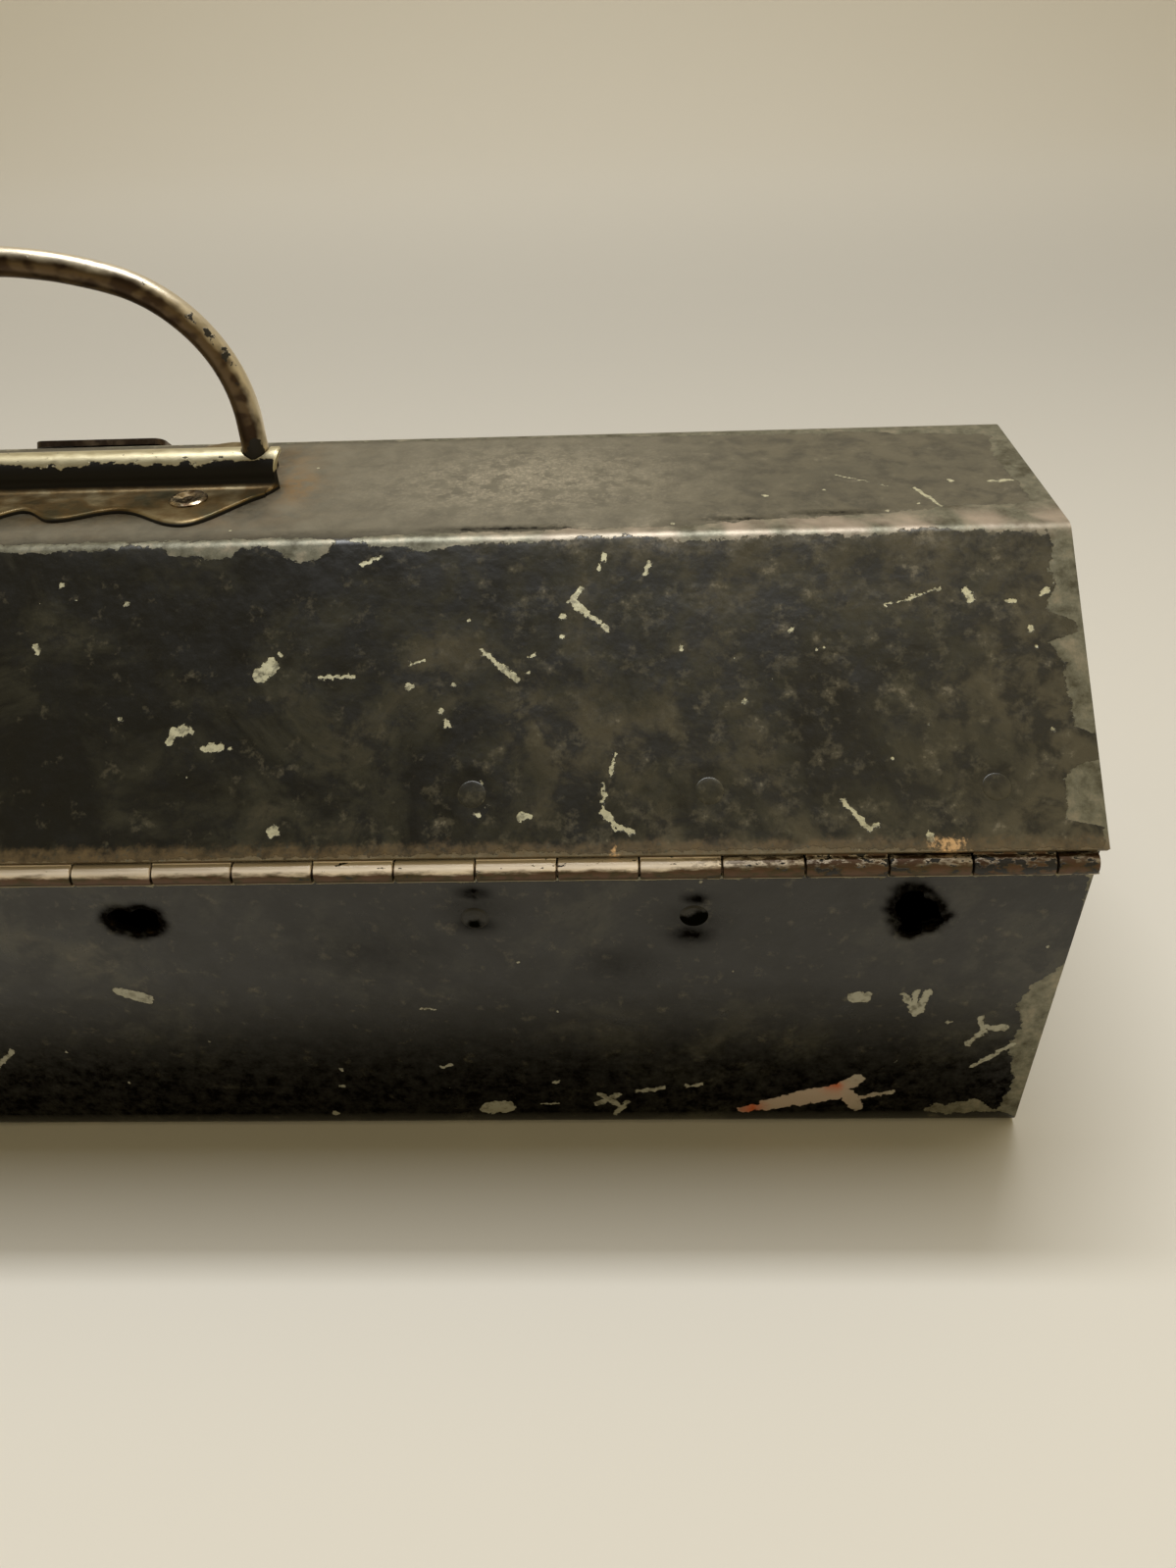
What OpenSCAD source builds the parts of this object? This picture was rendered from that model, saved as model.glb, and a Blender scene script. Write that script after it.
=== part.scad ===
// Sheet-steel lunch box: a straight-walled base, a lid with sloping front and back panels and a
// flat top, a piano hinge along the back, a wire bail handle held by a stamped plate on the top,
// and a swinging hasp with a turn staple on the front.
// Millimetres. X runs along the box, the hinge is on the +Y side, the hasp on the -Y side, and
// Z is up. The origin is on the floor, under the middle of the box.

/* [Box] */
// Outside length of the lid
box_len = 358; // [280:1:440]
// Outside depth of the lid at its rim, front to back
box_dep = 130; // [115:1:165]
// Height of the base, from the floor to the top of its rim
base_h = 68.7; // [55:0.1:90]
// Height from the lid's rim to its flat top
lid_rise = 33.2; // [28:0.1:40]
// Depth of the lid's flat top
top_dep = 45.2; // [42:0.1:52]
// Gap between the lid's edge and the base's rim
rim_gap = 0.3; // [0.2:0.05:0.6]

/* [Sheet metal] */
// Thickness of the painted steel sheet
sheet = 0.8; // [0.6:0.05:1]
// Inside radius of the bends along the bottom of the base
bend_r = 1.2; // [0.8:0.1:2.5]
// Outside radius of the two folds in the lid
fold_r = 3; // [2:0.1:5]
// Height of the folded hem round the rims
hem_h = 5.5; // [4:0.1:8]
// Width of the end panels' inner flanges
flange_w = 9; // [6:0.5:12]

/* [Piano hinge] */
// How far each end of the hinge stops short of the lid's end
hinge_inset = 1.2; // [1:0.1:4]
// Distance from one knuckle to the next
knuckle_pitch = 12.7; // [9:0.1:20]
// Outside radius of the knuckles
barrel_r = 1.9; // [1.7:0.05:2.4]
// Thickness of the two leaves
leaf_t = 0.8; // [0.6:0.05:0.9]
// Width of a leaf, from the pin's centre to its free edge
leaf_w = 15; // [12:0.5:18]
// Radius of the hinge pin
pin_r = 0.95; // [0.7:0.05:1]
// Radial clearance of a hinge pin in its knuckles
pin_clear = 0.06; // [0.03:0.01:0.1]
// Gap between one knuckle and the next
knuckle_gap = 0.3; // [0.2:0.05:0.5]

/* [Bail handle] */
// Radius of the bail's wire
wire_r = 2.38; // [1.8:0.02:2.6]
// Distance from the middle of the box to each leg of the bail
leg_x = 40; // [32:0.5:52]
// Height of the bail's crown above its bottom bar, centre to centre
bail_h = 36.4; // [30:0.2:50]
// Bending radius of the bail's crown
crown_r = 75; // [65:1:110]
// Bending radius of the bail's shoulders
shoulder_r = 25.4; // [14:0.2:26]
// Bending radius where a leg turns into the bottom bar
foot_r = 3.2; // [3:0.1:3.5]
// Distance of the handle in front of the middle of the top
handle_fwd = 2.5; // [0:0.1:2.5]
// How far the handle folds down to the front, in degrees
bail_fold = 75; // [60:1:75]

/* [Handle plate] */
// Thickness of the stamped plate
plate_t = 0.9; // [0.7:0.05:1.2]
// Half the length of the plate beyond a leg's centre
plate_over = 4.4; // [4:0.1:7]
// Radial room between the bail's bar and the channel that holds it
channel_room = 0.6; // [0.4:0.05:0.8]
// Gap between the bail's bar and the lid's top
bar_lift = 0.22; // [0.15:0.01:0.4]
// Reach of the plate's end corners from the channel's centre line
corner_reach = 7.1; // [6:0.1:9]
// Reach of the two lobes that carry the rivets
rivet_lobe = 18.8; // [16:0.1:19]
// Reach of the hollows between the lobes
hollow_reach = 12.6; // [11:0.1:14]
// Reach of the two middle lobes
middle_lobe = 15.9; // [14:0.1:17]
// Reach of the point in the middle of each long edge
cusp_reach = 11.6; // [10:0.1:13]
// Radius of the plate's dished rivets
dish_r = 3.4; // [2.6:0.1:3.6]
// Distance of the dished rivets from the channel's centre line
dish_y = 9.2; // [9.2:0.1:11]

/* [Hasp] */
// Width of the hasp's strap
strap_w = 26.6; // [22:0.2:32]
// Thickness of the strap
strap_t = 1.2; // [1:0.05:1.5]
// Distance from the strap's tip to the fold of the lid when it is thrown up
strap_tip = 3.6; // [3:0.1:8]
// Corner radius of the strap's tip
strap_corner = 2; // [1:0.1:4]
// Thickness of the hasp's fixed leaf
hasp_leaf_t = 1; // [0.8:0.05:1.2]
// Length of the fixed leaf up the slope, from its pin
hasp_leaf_len = 24; // [20:0.5:28]
// Gap between the strap and the fixed leaf
strap_gap = 0.3; // [0.25:0.05:0.5]
// Outside radius of the hasp's knuckles
hasp_barrel_r = 2; // [1.8:0.05:2.3]
// Radius of the hasp's pin
hasp_pin_r = 1; // [0.8:0.05:1.1]
// Width of the strap's middle knuckle
strap_knuckle = 10.6; // [8:0.2:12]
// Distance from the hasp's pin to the middle of the strap's slot
slot_reach = 32; // [28:0.5:34]
// Width of the strap's slot
slot_w = 5.6; // [5:0.1:7]
// Length of the strap's slot
slot_len = 13.6; // [13:0.1:16]

/* [Turn staple] */
// Outside radius of the staple's eye
eye_r = 4.8; // [4.2:0.1:5]
// Radius of the hole in the eye
eye_hole_r = 2.4; // [2:0.1:2.6]
// Thickness of the eye
eye_t = 3.6; // [3:0.1:4]
// Radius of the staple's shank
shank_r = 2.2; // [1.8:0.05:2.2]
// Width of the staple's fixed plate
keeper_w = 28; // [26:1:40]
// Height of the staple's fixed plate
keeper_h = 20; // [18:1:26]
// Thickness of the staple's fixed plate
keeper_t = 1; // [0.8:0.05:1.2]

/* [Rivets] */
// Radius of the hinge rivets' heads
head_r = 2.3; // [2:0.1:2.8]
// Height of a low rivet head
head_h = 0.45; // [0.3:0.05:0.7]
// Radius of the rivets' shanks
rivet_r = 1.3; // [1:0.05:1.5]
// Radial room round a rivet or a staple's shank in its hole
rivet_room = 0.05; // [0.03:0.01:0.1]
// Distance of the lid's hinge rivets up the slope from the rim
lid_rivet_up = 10; // [9:0.2:11]
// Distance of the base's hinge rivets below the hinge pin
base_rivet_down = 10.8; // [9:0.2:11]

/* [Hidden] */
$fn = 48;
eps = 0.01;

// Lid section: rim line, top and slope
lid_z = base_h + rim_gap;
top_z = lid_z + lid_rise;
lid_y = box_dep / 2;
top_y = top_dep / 2;
slope_run = lid_y - top_y;
slope_a = atan(lid_rise / slope_run);
slope_len = sqrt(slope_run * slope_run + lid_rise * lid_rise);
edge_w = sheet / sin(slope_a);
fold_y = top_y - fold_r * tan(slope_a / 2);

// Base walls stand inside the lid's outline by one thickness of hem
base_x = box_len / 2 - sheet;
base_y = lid_y - sheet;
bend_out = bend_r + sheet;
bend_room = 0.3;

// Hinge axis: tangent to the base leaf and to the lid leaf
hinge_x = box_len / 2 - hinge_inset;
hinge_y = base_y - sheet - leaf_t + barrel_r;
hinge_z = lid_z - (sheet + barrel_r - (lid_y - hinge_y) * sin(slope_a)) / cos(slope_a);
full_knuckles = 2 * floor((2 * hinge_x / knuckle_pitch - 2) / 2) + 1;
knuckles = full_knuckles + 2;
end_knuckle = (2 * hinge_x - full_knuckles * knuckle_pitch) / 2;
back_top = hinge_z - barrel_r - knuckle_gap;
function knuckle_x(i) = i == 0 ? -hinge_x : -hinge_x + end_knuckle + (i - 1) * knuckle_pitch;
function knuckle_w(i) = i == 0 || i == knuckles - 1 ? end_knuckle : knuckle_pitch;

// Handle: the channel's centre line lies on the lid's top
bar_y = -handle_fwd;
bar_z = top_z + bar_lift + wire_r;
channel_in = wire_r + channel_room;
channel_out = channel_in + plate_t;
flare_r = max(bar_z - top_z - plate_t, 0.5);
plate_x = leg_x + plate_over;
hole_r = wire_r + 0.25;
dish_x = leg_x - 10.9;
dish_h = 0.5;
dish_deep = 0.35;
crown_z = bar_z + bail_h - crown_r;
shoulder_x = leg_x - shoulder_r;
shoulder_rise = sqrt(pow(crown_r - shoulder_r, 2) - pow(shoulder_x, 2));
shoulder_z = round(1000 * (crown_z + shoulder_rise)) / 1000;
shoulder_a = asin(shoulder_x / (crown_r - shoulder_r));

// Hasp: its pin lies on the lower edge of the lid's front slope
hasp_lift = hasp_barrel_r + 0.2;
hasp_y = -lid_y - hasp_lift * sin(slope_a);
hasp_z = lid_z + hasp_lift * cos(slope_a);
strap_low = hasp_leaf_t + strap_gap - hasp_lift;
strap_len = slope_len - strap_tip;
knuckle_free = hasp_barrel_r + strap_gap;
slot_z = hasp_z - slot_reach;
keeper_y = -base_y - keeper_t;
strap_face = hasp_y + strap_low;
neck_y = strap_face - strap_gap;
eye_y = neck_y - sqrt(eye_r * eye_r - shank_r * shank_r) + 0.2;
washer_t = 1;
washer_r = 5;
peen_h = 0.8;

// Rivet places along half of the box; the base's are at the same pitch from the middle
base_rivet_x = [25.2, 81.3, 116.7, 152];
lid_rivet_x = [82, 119, 163];
lost_rivets = [-25.2, -152];
hasp_rivet_x = 8.6;
hasp_rivet_up = [9, 19];
keeper_rivet_x = keeper_w / 2 - 4;
fits_x = base_x / 178.2;

// Points of an arc, from angle a0 to angle a1
function arc(cx, cy, r, a0, a1, n = 10) =
    [for (i = [0:n]) [cx + r * cos(a0 + (a1 - a0) * i / n), cy + r * sin(a0 + (a1 - a0) * i / n)]];

// A cosine swing between two reaches, for the plate's wavy edge
function wave(x0, y0, x1, y1, n = 8) =
    [for (i = [0:n - 1]) let (u = i / n)
        [x0 + (x1 - x0) * u, y0 + (y1 - y0) * (1 - cos(180 * u)) / 2]];

// A box given by its two opposite corners
module box(low, high) {
    translate(low) cube(high - low);
}

// A shape drawn in Y and Z, carried along X from x0 to x1
module along_x(x0, x1) {
    translate([x0, 0, 0]) rotate([90, 0, 90]) linear_extrude(x1 - x0) children();
}

// A round bar along X
module rod_x(r, x0, x1) {
    translate([x0, 0, 0]) rotate([0, 90, 0]) cylinder(r = r, h = x1 - x0);
}

// Both halves of something drawn on the +X side
module both_x() {
    children();
    mirror([1, 0, 0]) children();
}

// Frame of the back slope: origin on the lid's lower edge, +Y down the slope, +Z out of it
module on_back_slope() {
    translate([0, lid_y, lid_z]) rotate([-slope_a, 0, 0]) children();
}

// The same frame on the front slope
module on_front_slope() {
    mirror([0, 1, 0]) on_back_slope() children();
}

// Frame of the base's back wall: origin at the hinge pin's height, +Z out of the wall, +Y up
module on_back_wall() {
    translate([0, base_y, hinge_z]) rotate([-90, 0, 0]) mirror([0, 1, 0]) children();
}

// A low round head with its flat side down, turned to a profile of three steps
module dome(r, h) {
    rotate_extrude() polygon([
        [0, 0], [r, 0], [0.85 * r, 0.45 * h], [0.55 * r, 0.83 * h], [0, h]]);
}

// A rivet along Z through a stack of sheets: head above, shank down, set head below
module rivet(stack) {
    dome(head_r, head_h);
    translate([0, 0, -stack]) cylinder(r = rivet_r, h = stack + eps);
    translate([0, 0, -stack]) mirror([0, 0, 1]) dome(head_r, head_h);
}

// The hole that a rivet passes through
module rivet_hole(deep) {
    translate([0, 0, -deep]) cylinder(r = rivet_r + rivet_room, h = 2 * deep);
}

// Outline of the lid's sheet, outside when inset is 0, or moved in by a thickness
function lid_outline(inset) = concat(
    [[lid_y - inset / sin(slope_a), lid_z]],
    arc(fold_y, top_z - fold_r, fold_r - inset, 90 - slope_a, 90),
    arc(-fold_y, top_z - fold_r, fold_r - inset, 90, 90 + slope_a),
    [[-lid_y + inset / sin(slope_a), lid_z]]);

// Outline of the base's trough between its walls, moved in by a thickness
function base_outline(inset, back) = concat(
    [[base_y - inset, back]],
    arc(base_y - bend_out, bend_out, bend_out - inset, 0, -90),
    arc(-base_y + bend_out, bend_out, bend_out - inset, -90, -180),
    [[-base_y + inset, base_h - sheet]]);

function reversed(p) = [for (i = [len(p) - 1:-1:0]) p[i]];

// Ragged hole that a torn-out rivet leaves, drawn across the wall
module torn_hole(big) {
    lobes = big ? [[0, 0, 3.5], [1.4, 2.3, 2.3], [-1.7, -1.8, 2.4], [0.5, -3, 1.7]]
        : [[-1.7, 0.1, 2.7], [1.9, 0.3, 2.4], [0.2, -0.5, 2.6], [-3.2, 0.8, 1.2]];
    for (p = lobes) translate([p[0], p[1], -sheet - leaf_t - 1]) cylinder(r = p[2], h = 4);
}

// Holes of the base hinge rivets, in the frame of the back wall
module base_rivet_holes() {
    for (x = base_rivet_x, s = [-1, 1])
        translate([s * x * fits_x, -base_rivet_down, 0])
            rivet_hole(sheet + leaf_t + 1);
}

// The torn holes, where two rivets of the row are lost
module lost_rivet_holes() {
    translate([lost_rivets[0] * fits_x, -base_rivet_down, 0]) torn_hole(false);
    translate([lost_rivets[1] * fits_x, -base_rivet_down + 0.6, 0]) torn_hole(true);
}

// Half of the rim hem of one wall: the sheet folded outwards and down, with a round top
module hem_section() {
    translate([-sheet, -hem_h]) square([sheet + eps, hem_h - sheet]);
    translate([0, -sheet]) circle(sheet);
}

module base_wrap() {
    color([0.10, 0.10, 0.09]) difference() {
        union() {
            along_x(-base_x, base_x) polygon(concat(base_outline(0, back_top),
                reversed(base_outline(sheet, back_top))));
            along_x(-base_x, base_x) translate([-base_y, base_h]) hem_section();
        }
        on_back_wall() base_rivet_holes();
        on_back_wall() lost_rivet_holes();
        keeper_places() rivet_hole(sheet + 3);
        staple_axis() cylinder(r = shank_r + rivet_room, h = 20, center = true);
    }
}

// One end of the base: a panel inside the trough, with flanges along the walls and a rim hem
module base_end() {
    color([0.11, 0.11, 0.10]) difference() {
        union() {
            along_x(base_x - sheet, base_x) polygon(concat(
                [[base_y - sheet, base_h - sheet], [base_y - sheet, bend_out + bend_room]],
                arc(base_y - bend_out, bend_out, bend_r - bend_room, 0, -90, 6),
                arc(-base_y + bend_out, bend_out, bend_r - bend_room, -90, -180, 6),
                [[-base_y + sheet, bend_out + bend_room], [-base_y + sheet, base_h - sheet]]));
            base_end_flanges();
            translate([base_x, 0, 0]) rotate([90, 0, 0])
                linear_extrude(2 * base_y, center = true)
                    translate([0, base_h]) mirror([1, 0]) hem_section();
        }
        box([0, hinge_y - barrel_r - knuckle_gap, back_top - knuckle_gap],
            [box_len, lid_y + 5, lid_z]);
        box([0, -base_y - eps, base_h - hem_h - 1], [base_x, -base_y + sheet, lid_z]);
    }
}

// Flanges of the right-hand end panel against the front wall, the bottom and the back wall
module base_end_flanges() {
    x0 = base_x - flange_w;
    x1 = base_x - sheet + eps;
    low = bend_out + 1;
    box([x0, -base_y + sheet, low], [x1, -base_y + 2 * sheet, base_h - hem_h]);
    box([x0, -base_y + low, sheet], [x1, base_y - low, 2 * sheet]);
    box([x0, base_y - 2 * sheet, low], [x1, base_y - sheet, hinge_z - leaf_w - 1]);
}

module base_end_right() {
    base_end();
}

module base_end_left() {
    mirror([1, 0, 0]) base_end();
}

// Knuckles of one leaf: every second one, starting with the first or the second
module knuckle_row(first, low, high) {
    for (i = [first:2:knuckles - 1]) {
        x0 = knuckle_x(i) + (i == 0 ? 0 : knuckle_gap / 2);
        x1 = knuckle_x(i) + knuckle_w(i) - (i == knuckles - 1 ? 0 : knuckle_gap / 2);
        rod_x(barrel_r, x0, x1);
        box([x0, low[0], low[1]], [x1, high[0], high[1]]);
    }
}

module base_hinge_leaf() {
    leaf_in = -barrel_r;
    color([0.45, 0.42, 0.38]) difference() {
        translate([0, hinge_y, hinge_z]) difference() {
            union() {
                knuckle_row(0, [leaf_in, -barrel_r - knuckle_gap - eps], [leaf_in + leaf_t, 0]);
                box([-base_x + sheet + knuckle_gap, leaf_in, -leaf_w],
                    [base_x - sheet - knuckle_gap, leaf_in + leaf_t, -barrel_r - knuckle_gap]);
            }
            rod_x(pin_r + pin_clear, -hinge_x - 1, hinge_x + 1);
        }
        on_back_wall() base_rivet_holes();
        on_back_wall() lost_rivet_holes();
    }
}

module lid_hinge_leaf() {
    color([0.45, 0.42, 0.38]) difference() {
        translate([0, hinge_y, hinge_z]) rotate([-slope_a, 0, 0]) difference() {
            union() {
                knuckle_row(1, [-barrel_r - knuckle_gap - eps, barrel_r - leaf_t], [0, barrel_r]);
                box([-base_x + sheet + knuckle_gap, -leaf_w, barrel_r - leaf_t],
                    [base_x - sheet - knuckle_gap, -barrel_r - knuckle_gap, barrel_r]);
            }
            rod_x(pin_r + pin_clear, -hinge_x - 1, hinge_x + 1);
        }
        lid_rivet_places() rivet_hole(sheet + leaf_t + 1);
    }
}

module hinge_pin() {
    color([0.5, 0.47, 0.42]) translate([0, hinge_y, hinge_z]) rod_x(pin_r, -hinge_x, hinge_x);
}

// The rivets of the base leaf, all but the two that are lost
module base_hinge_rivets() {
    places = [for (x = base_rivet_x, s = [-1, 1]) if (len(search(s * x, lost_rivets)) == 0) s * x];
    color([0.16, 0.13, 0.11]) on_back_wall() for (x = places)
        translate([x * fits_x, -base_rivet_down, 0]) rivet(sheet + leaf_t);
}

// Places of the lid's hinge rivets
module lid_rivet_places() {
    on_back_slope() for (x = lid_rivet_x, s = [-1, 1])
        translate([s * x * fits_x, -lid_rivet_up, 0]) children();
}

module lid_hinge_rivets() {
    color([0.17, 0.15, 0.12]) lid_rivet_places() rivet(sheet + leaf_t);
}

module lid_wrap() {
    color([0.12, 0.12, 0.11]) difference() {
        along_x(-box_len / 2, box_len / 2)
            polygon(concat(lid_outline(0), reversed(lid_outline(sheet))));
        lid_rivet_places() rivet_hole(sheet + 2);
        handle_rivet_places() rivet_hole(sheet + 2);
        hasp_rivet_places() rivet_hole(sheet + 2);
    }
}

// One end of the lid: a panel under the sheet, inner flanges along it and a hem on its rim
module lid_end() {
    x1 = box_len / 2 - sheet;
    free = leaf_w + 2;
    color([0.12, 0.12, 0.11]) union() {
        along_x(x1, x1 + sheet) polygon(lid_outline(sheet));
        along_x(x1 - sheet, x1 + eps) intersection() {
            polygon(lid_outline(sheet));
            translate([-lid_y, lid_z]) square([2 * lid_y - free, hem_h]);
        }
        lid_end_flange(free, slope_len - fold_r);
        mirror([0, 1, 0]) lid_end_flange(edge_w + hem_h, slope_len - fold_r);
        box([x1 - flange_w, -fold_y + 1, top_z - 2 * sheet], [x1 + eps, fold_y - 1, top_z - sheet]);
    }
}

// A flange of the lid's right-hand end along the back slope, from one height to another
module lid_end_flange(s0, s1) {
    x1 = box_len / 2 - sheet;
    on_back_slope() box([x1 - flange_w, -s1, -2 * sheet], [x1 + eps, -s0, -sheet]);
}

module lid_end_right() {
    lid_end();
}

module lid_end_left() {
    mirror([1, 0, 0]) lid_end();
}

// Half of the plate's wavy long edge, from the middle point to the end corner
function plate_edge() = concat(
    wave(0, cusp_reach, leg_x * 0.17, middle_lobe, 6),
    wave(leg_x * 0.17, middle_lobe, leg_x * 0.43, hollow_reach),
    wave(leg_x * 0.43, hollow_reach, leg_x * 0.76, rivet_lobe),
    wave(leg_x * 0.76, rivet_lobe, plate_x, corner_reach),
    [[plate_x, corner_reach]]);

// Section of the plate's channel: a half-round ridge that flares into the flanges
function ridge_section() = concat(
    [[channel_out + flare_r, 0]],
    arc(channel_out + flare_r, plate_t + flare_r, flare_r, -90, -180, 6),
    arc(0, bar_z - top_z, channel_out, 0, 180, 24),
    arc(-channel_out - flare_r, plate_t + flare_r, flare_r, 0, -90, 6),
    [[-channel_out - flare_r, 0]]);

module handle_plate() {
    edge = plate_edge();
    half = concat(edge, [for (p = reversed(edge)) [p[0], -p[1]]]);
    color([0.42, 0.36, 0.27]) translate([0, bar_y, top_z]) difference() {
        union() {
            linear_extrude(plate_t) polygon(half);
            linear_extrude(plate_t) mirror([1, 0]) polygon(half);
            along_x(-plate_x, plate_x) polygon(ridge_section());
        }
        along_x(-plate_x - 1, plate_x + 1) channel_hollow();
        both_x() bail_slot();
        for (x = [-1, 1], y = [-1, 1]) translate([x * dish_x, y * dish_y, 0]) rivet_hole(3);
    }
}

// The hollow under the ridge, open towards the lid
module channel_hollow() {
    translate([0, bar_z - top_z]) circle(channel_in);
    translate([-channel_in, -1]) square([2 * channel_in, bar_z - top_z + 1]);
}

// The opening for a leg: round at the back, and run out to the front for the fold
module bail_slot() {
    translate([leg_x, 0, plate_t]) cylinder(r = hole_r, h = 20);
    box([leg_x - hole_r, -channel_out - flare_r - 1, plate_t], [leg_x + hole_r, 0, 20]);
}

// Places of the four dished rivets of the handle plate
module handle_rivet_places() {
    for (x = [-1, 1], y = [-1, 1]) translate([x * dish_x, bar_y + y * dish_y, top_z]) children();
}

// A rivet with a dished head, through the plate and the lid
module dished_rivet() {
    translate([0, 0, plate_t]) rotate_extrude() polygon([
        [0, 0], [dish_r, 0], [dish_r, dish_h / 2], [dish_r - 0.4, dish_h], [dish_r - 0.8, dish_h],
        [dish_r / 3, dish_h - dish_deep], [0, dish_h - dish_deep]]);
    translate([0, 0, -sheet]) cylinder(r = rivet_r, h = sheet + plate_t + eps);
    translate([0, 0, -sheet]) mirror([0, 0, 1]) dome(head_r, head_h);
}

module handle_rivets() {
    color([0.48, 0.42, 0.33]) handle_rivet_places() dished_rivet();
}

// A length of wire bent in the plane of the bail: centre, radius, first angle and turn
module bend(x, z, r, a0, turn) {
    translate([x, 0, z]) rotate([90, 0, 0]) rotate([0, 0, a0])
        rotate_extrude(angle = turn) translate([r, 0]) circle(wire_r);
}

module bail_handle() {
    foot_z = bar_z + foot_r;
    foot_x = leg_x - foot_r;
    color([0.55, 0.50, 0.42]) translate([0, bar_y, 0]) union() {
        bend(0, crown_z, crown_r, 90 - shoulder_a, 2 * shoulder_a);
        translate([0, 0, bar_z]) rod_x(wire_r, -foot_x, foot_x);
        both_x() {
            bend(shoulder_x, shoulder_z, shoulder_r, 0, 90 - shoulder_a);
            translate([crown_r * sin(shoulder_a), 0, crown_z + crown_r * cos(shoulder_a)])
                rotate([0, 90 + shoulder_a, 0])
                    cylinder(r = wire_r + 0.01, h = 0.6, center = true);
            translate([leg_x, 0, foot_z]) cylinder(r = wire_r, h = shoulder_z - foot_z);
            bend(foot_x, foot_z, foot_r, -90, 90);
        }
    }
}

// Places of the rivets of the hasp's fixed leaf
module hasp_rivet_places() {
    on_front_slope() for (x = [-1, 1], up = hasp_rivet_up)
        translate([x * hasp_rivet_x, -up, 0]) children();
}

// A flush rivet: a countersunk head in the leaf and a set head under the lid
module flush_rivet() {
    translate([0, 0, hasp_leaf_t - 0.6]) cylinder(r1 = rivet_r, r2 = head_r, h = 0.6);
    translate([0, 0, -sheet]) cylinder(r = rivet_r, h = sheet + hasp_leaf_t - 0.6 + eps);
    translate([0, 0, -sheet]) mirror([0, 0, 1]) dome(head_r, head_h);
}

module hasp_rivets() {
    color([0.35, 0.3, 0.24]) hasp_rivet_places() flush_rivet();
}

// Frame of the hasp's pin, with +Y down the front slope and +Z out of it
module at_hasp_pin() {
    on_front_slope() translate([0, 0, hasp_lift]) children();
}

module hasp_leaf() {
    side = (strap_w - strap_knuckle) / 2 - strap_gap / 2;
    color([0.3, 0.26, 0.21]) difference() {
        at_hasp_pin() difference() {
            union() {
                box([-strap_w / 2, -hasp_leaf_len, -hasp_lift],
                    [strap_w / 2, -knuckle_free, hasp_leaf_t - hasp_lift]);
                for (x = [-strap_w / 2, strap_w / 2 - side]) {
                    box([x, -knuckle_free - eps, -hasp_lift], [x + side, 0, hasp_leaf_t - hasp_lift]);
                    rod_x(hasp_barrel_r, x, x + side);
                }
            }
            rod_x(hasp_pin_r + pin_clear, -strap_w, strap_w);
        }
        hasp_rivet_places() translate([0, 0, hasp_leaf_t - 0.6])
            cylinder(r1 = rivet_r + rivet_room, r2 = head_r + rivet_room, h = 0.6 + eps);
        hasp_rivet_places() rivet_hole(2);
    }
}

module hasp_pin() {
    color([0.4, 0.37, 0.32]) at_hasp_pin() rod_x(hasp_pin_r, -strap_w / 2, strap_w / 2);
}

// The strap, thrown up over the slope
module hasp_strap() {
    half = strap_w / 2;
    knuckle = strap_knuckle / 2 - strap_gap / 2;
    tip = strap_len - strap_corner;
    color([0.27, 0.22, 0.18]) at_hasp_pin() difference() {
        union() {
            translate([0, 0, strap_low]) linear_extrude(strap_t) difference() {
                polygon(concat([[-half, -knuckle_free], [half, -knuckle_free]],
                    arc(half - strap_corner, -tip, strap_corner, 0, -90, 6),
                    arc(-half + strap_corner, -tip, strap_corner, -90, -180, 6)));
                slot_outline();
            }
            box([-knuckle, -knuckle_free - eps, strap_low], [knuckle, 0, strap_low + strap_t]);
            rod_x(hasp_barrel_r, -knuckle, knuckle);
        }
        rod_x(hasp_pin_r + pin_clear, -strap_w, strap_w);
    }
}

// The strap's slot, with round ends
module slot_outline() {
    run = slot_len / 2 - slot_w / 2;
    translate([0, -slot_reach - run]) circle(slot_w / 2);
    translate([0, -slot_reach + run]) circle(slot_w / 2);
    translate([-slot_w / 2, -slot_reach - run]) square([slot_w, 2 * run]);
}

// Axis of the turn staple, with +Z out of the front wall
module staple_axis() {
    translate([0, -base_y, slot_z]) rotate([90, 0, 0]) children();
}

// Places of the two rivets of the staple's fixed plate
module keeper_places() {
    staple_axis() for (x = [-1, 1]) translate([x * keeper_rivet_x, 0, 0]) children();
}

module staple_keeper() {
    color([0.3, 0.26, 0.21]) difference() {
        staple_axis() linear_extrude(keeper_t) difference() {
            polygon(concat(
                arc(keeper_w / 2 - 3, keeper_h / 2 - 3, 3, 0, 90, 6),
                arc(-keeper_w / 2 + 3, keeper_h / 2 - 3, 3, 90, 180, 6),
                arc(-keeper_w / 2 + 3, -keeper_h / 2 + 3, 3, 180, 270, 6),
                arc(keeper_w / 2 - 3, -keeper_h / 2 + 3, 3, 270, 360, 6)));
            circle(shank_r + rivet_room);
        }
        keeper_places() rivet_hole(sheet + 3);
    }
}

// Rivets of the staple's plate: flat heads outside, so that the strap lies over them
module keeper_rivets() {
    color([0.35, 0.3, 0.24]) keeper_places() {
        translate([0, 0, -sheet]) cylinder(r = rivet_r, h = sheet + keeper_t);
        translate([0, 0, -sheet]) mirror([0, 0, 1]) dome(head_r, head_h);
    }
}

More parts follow.
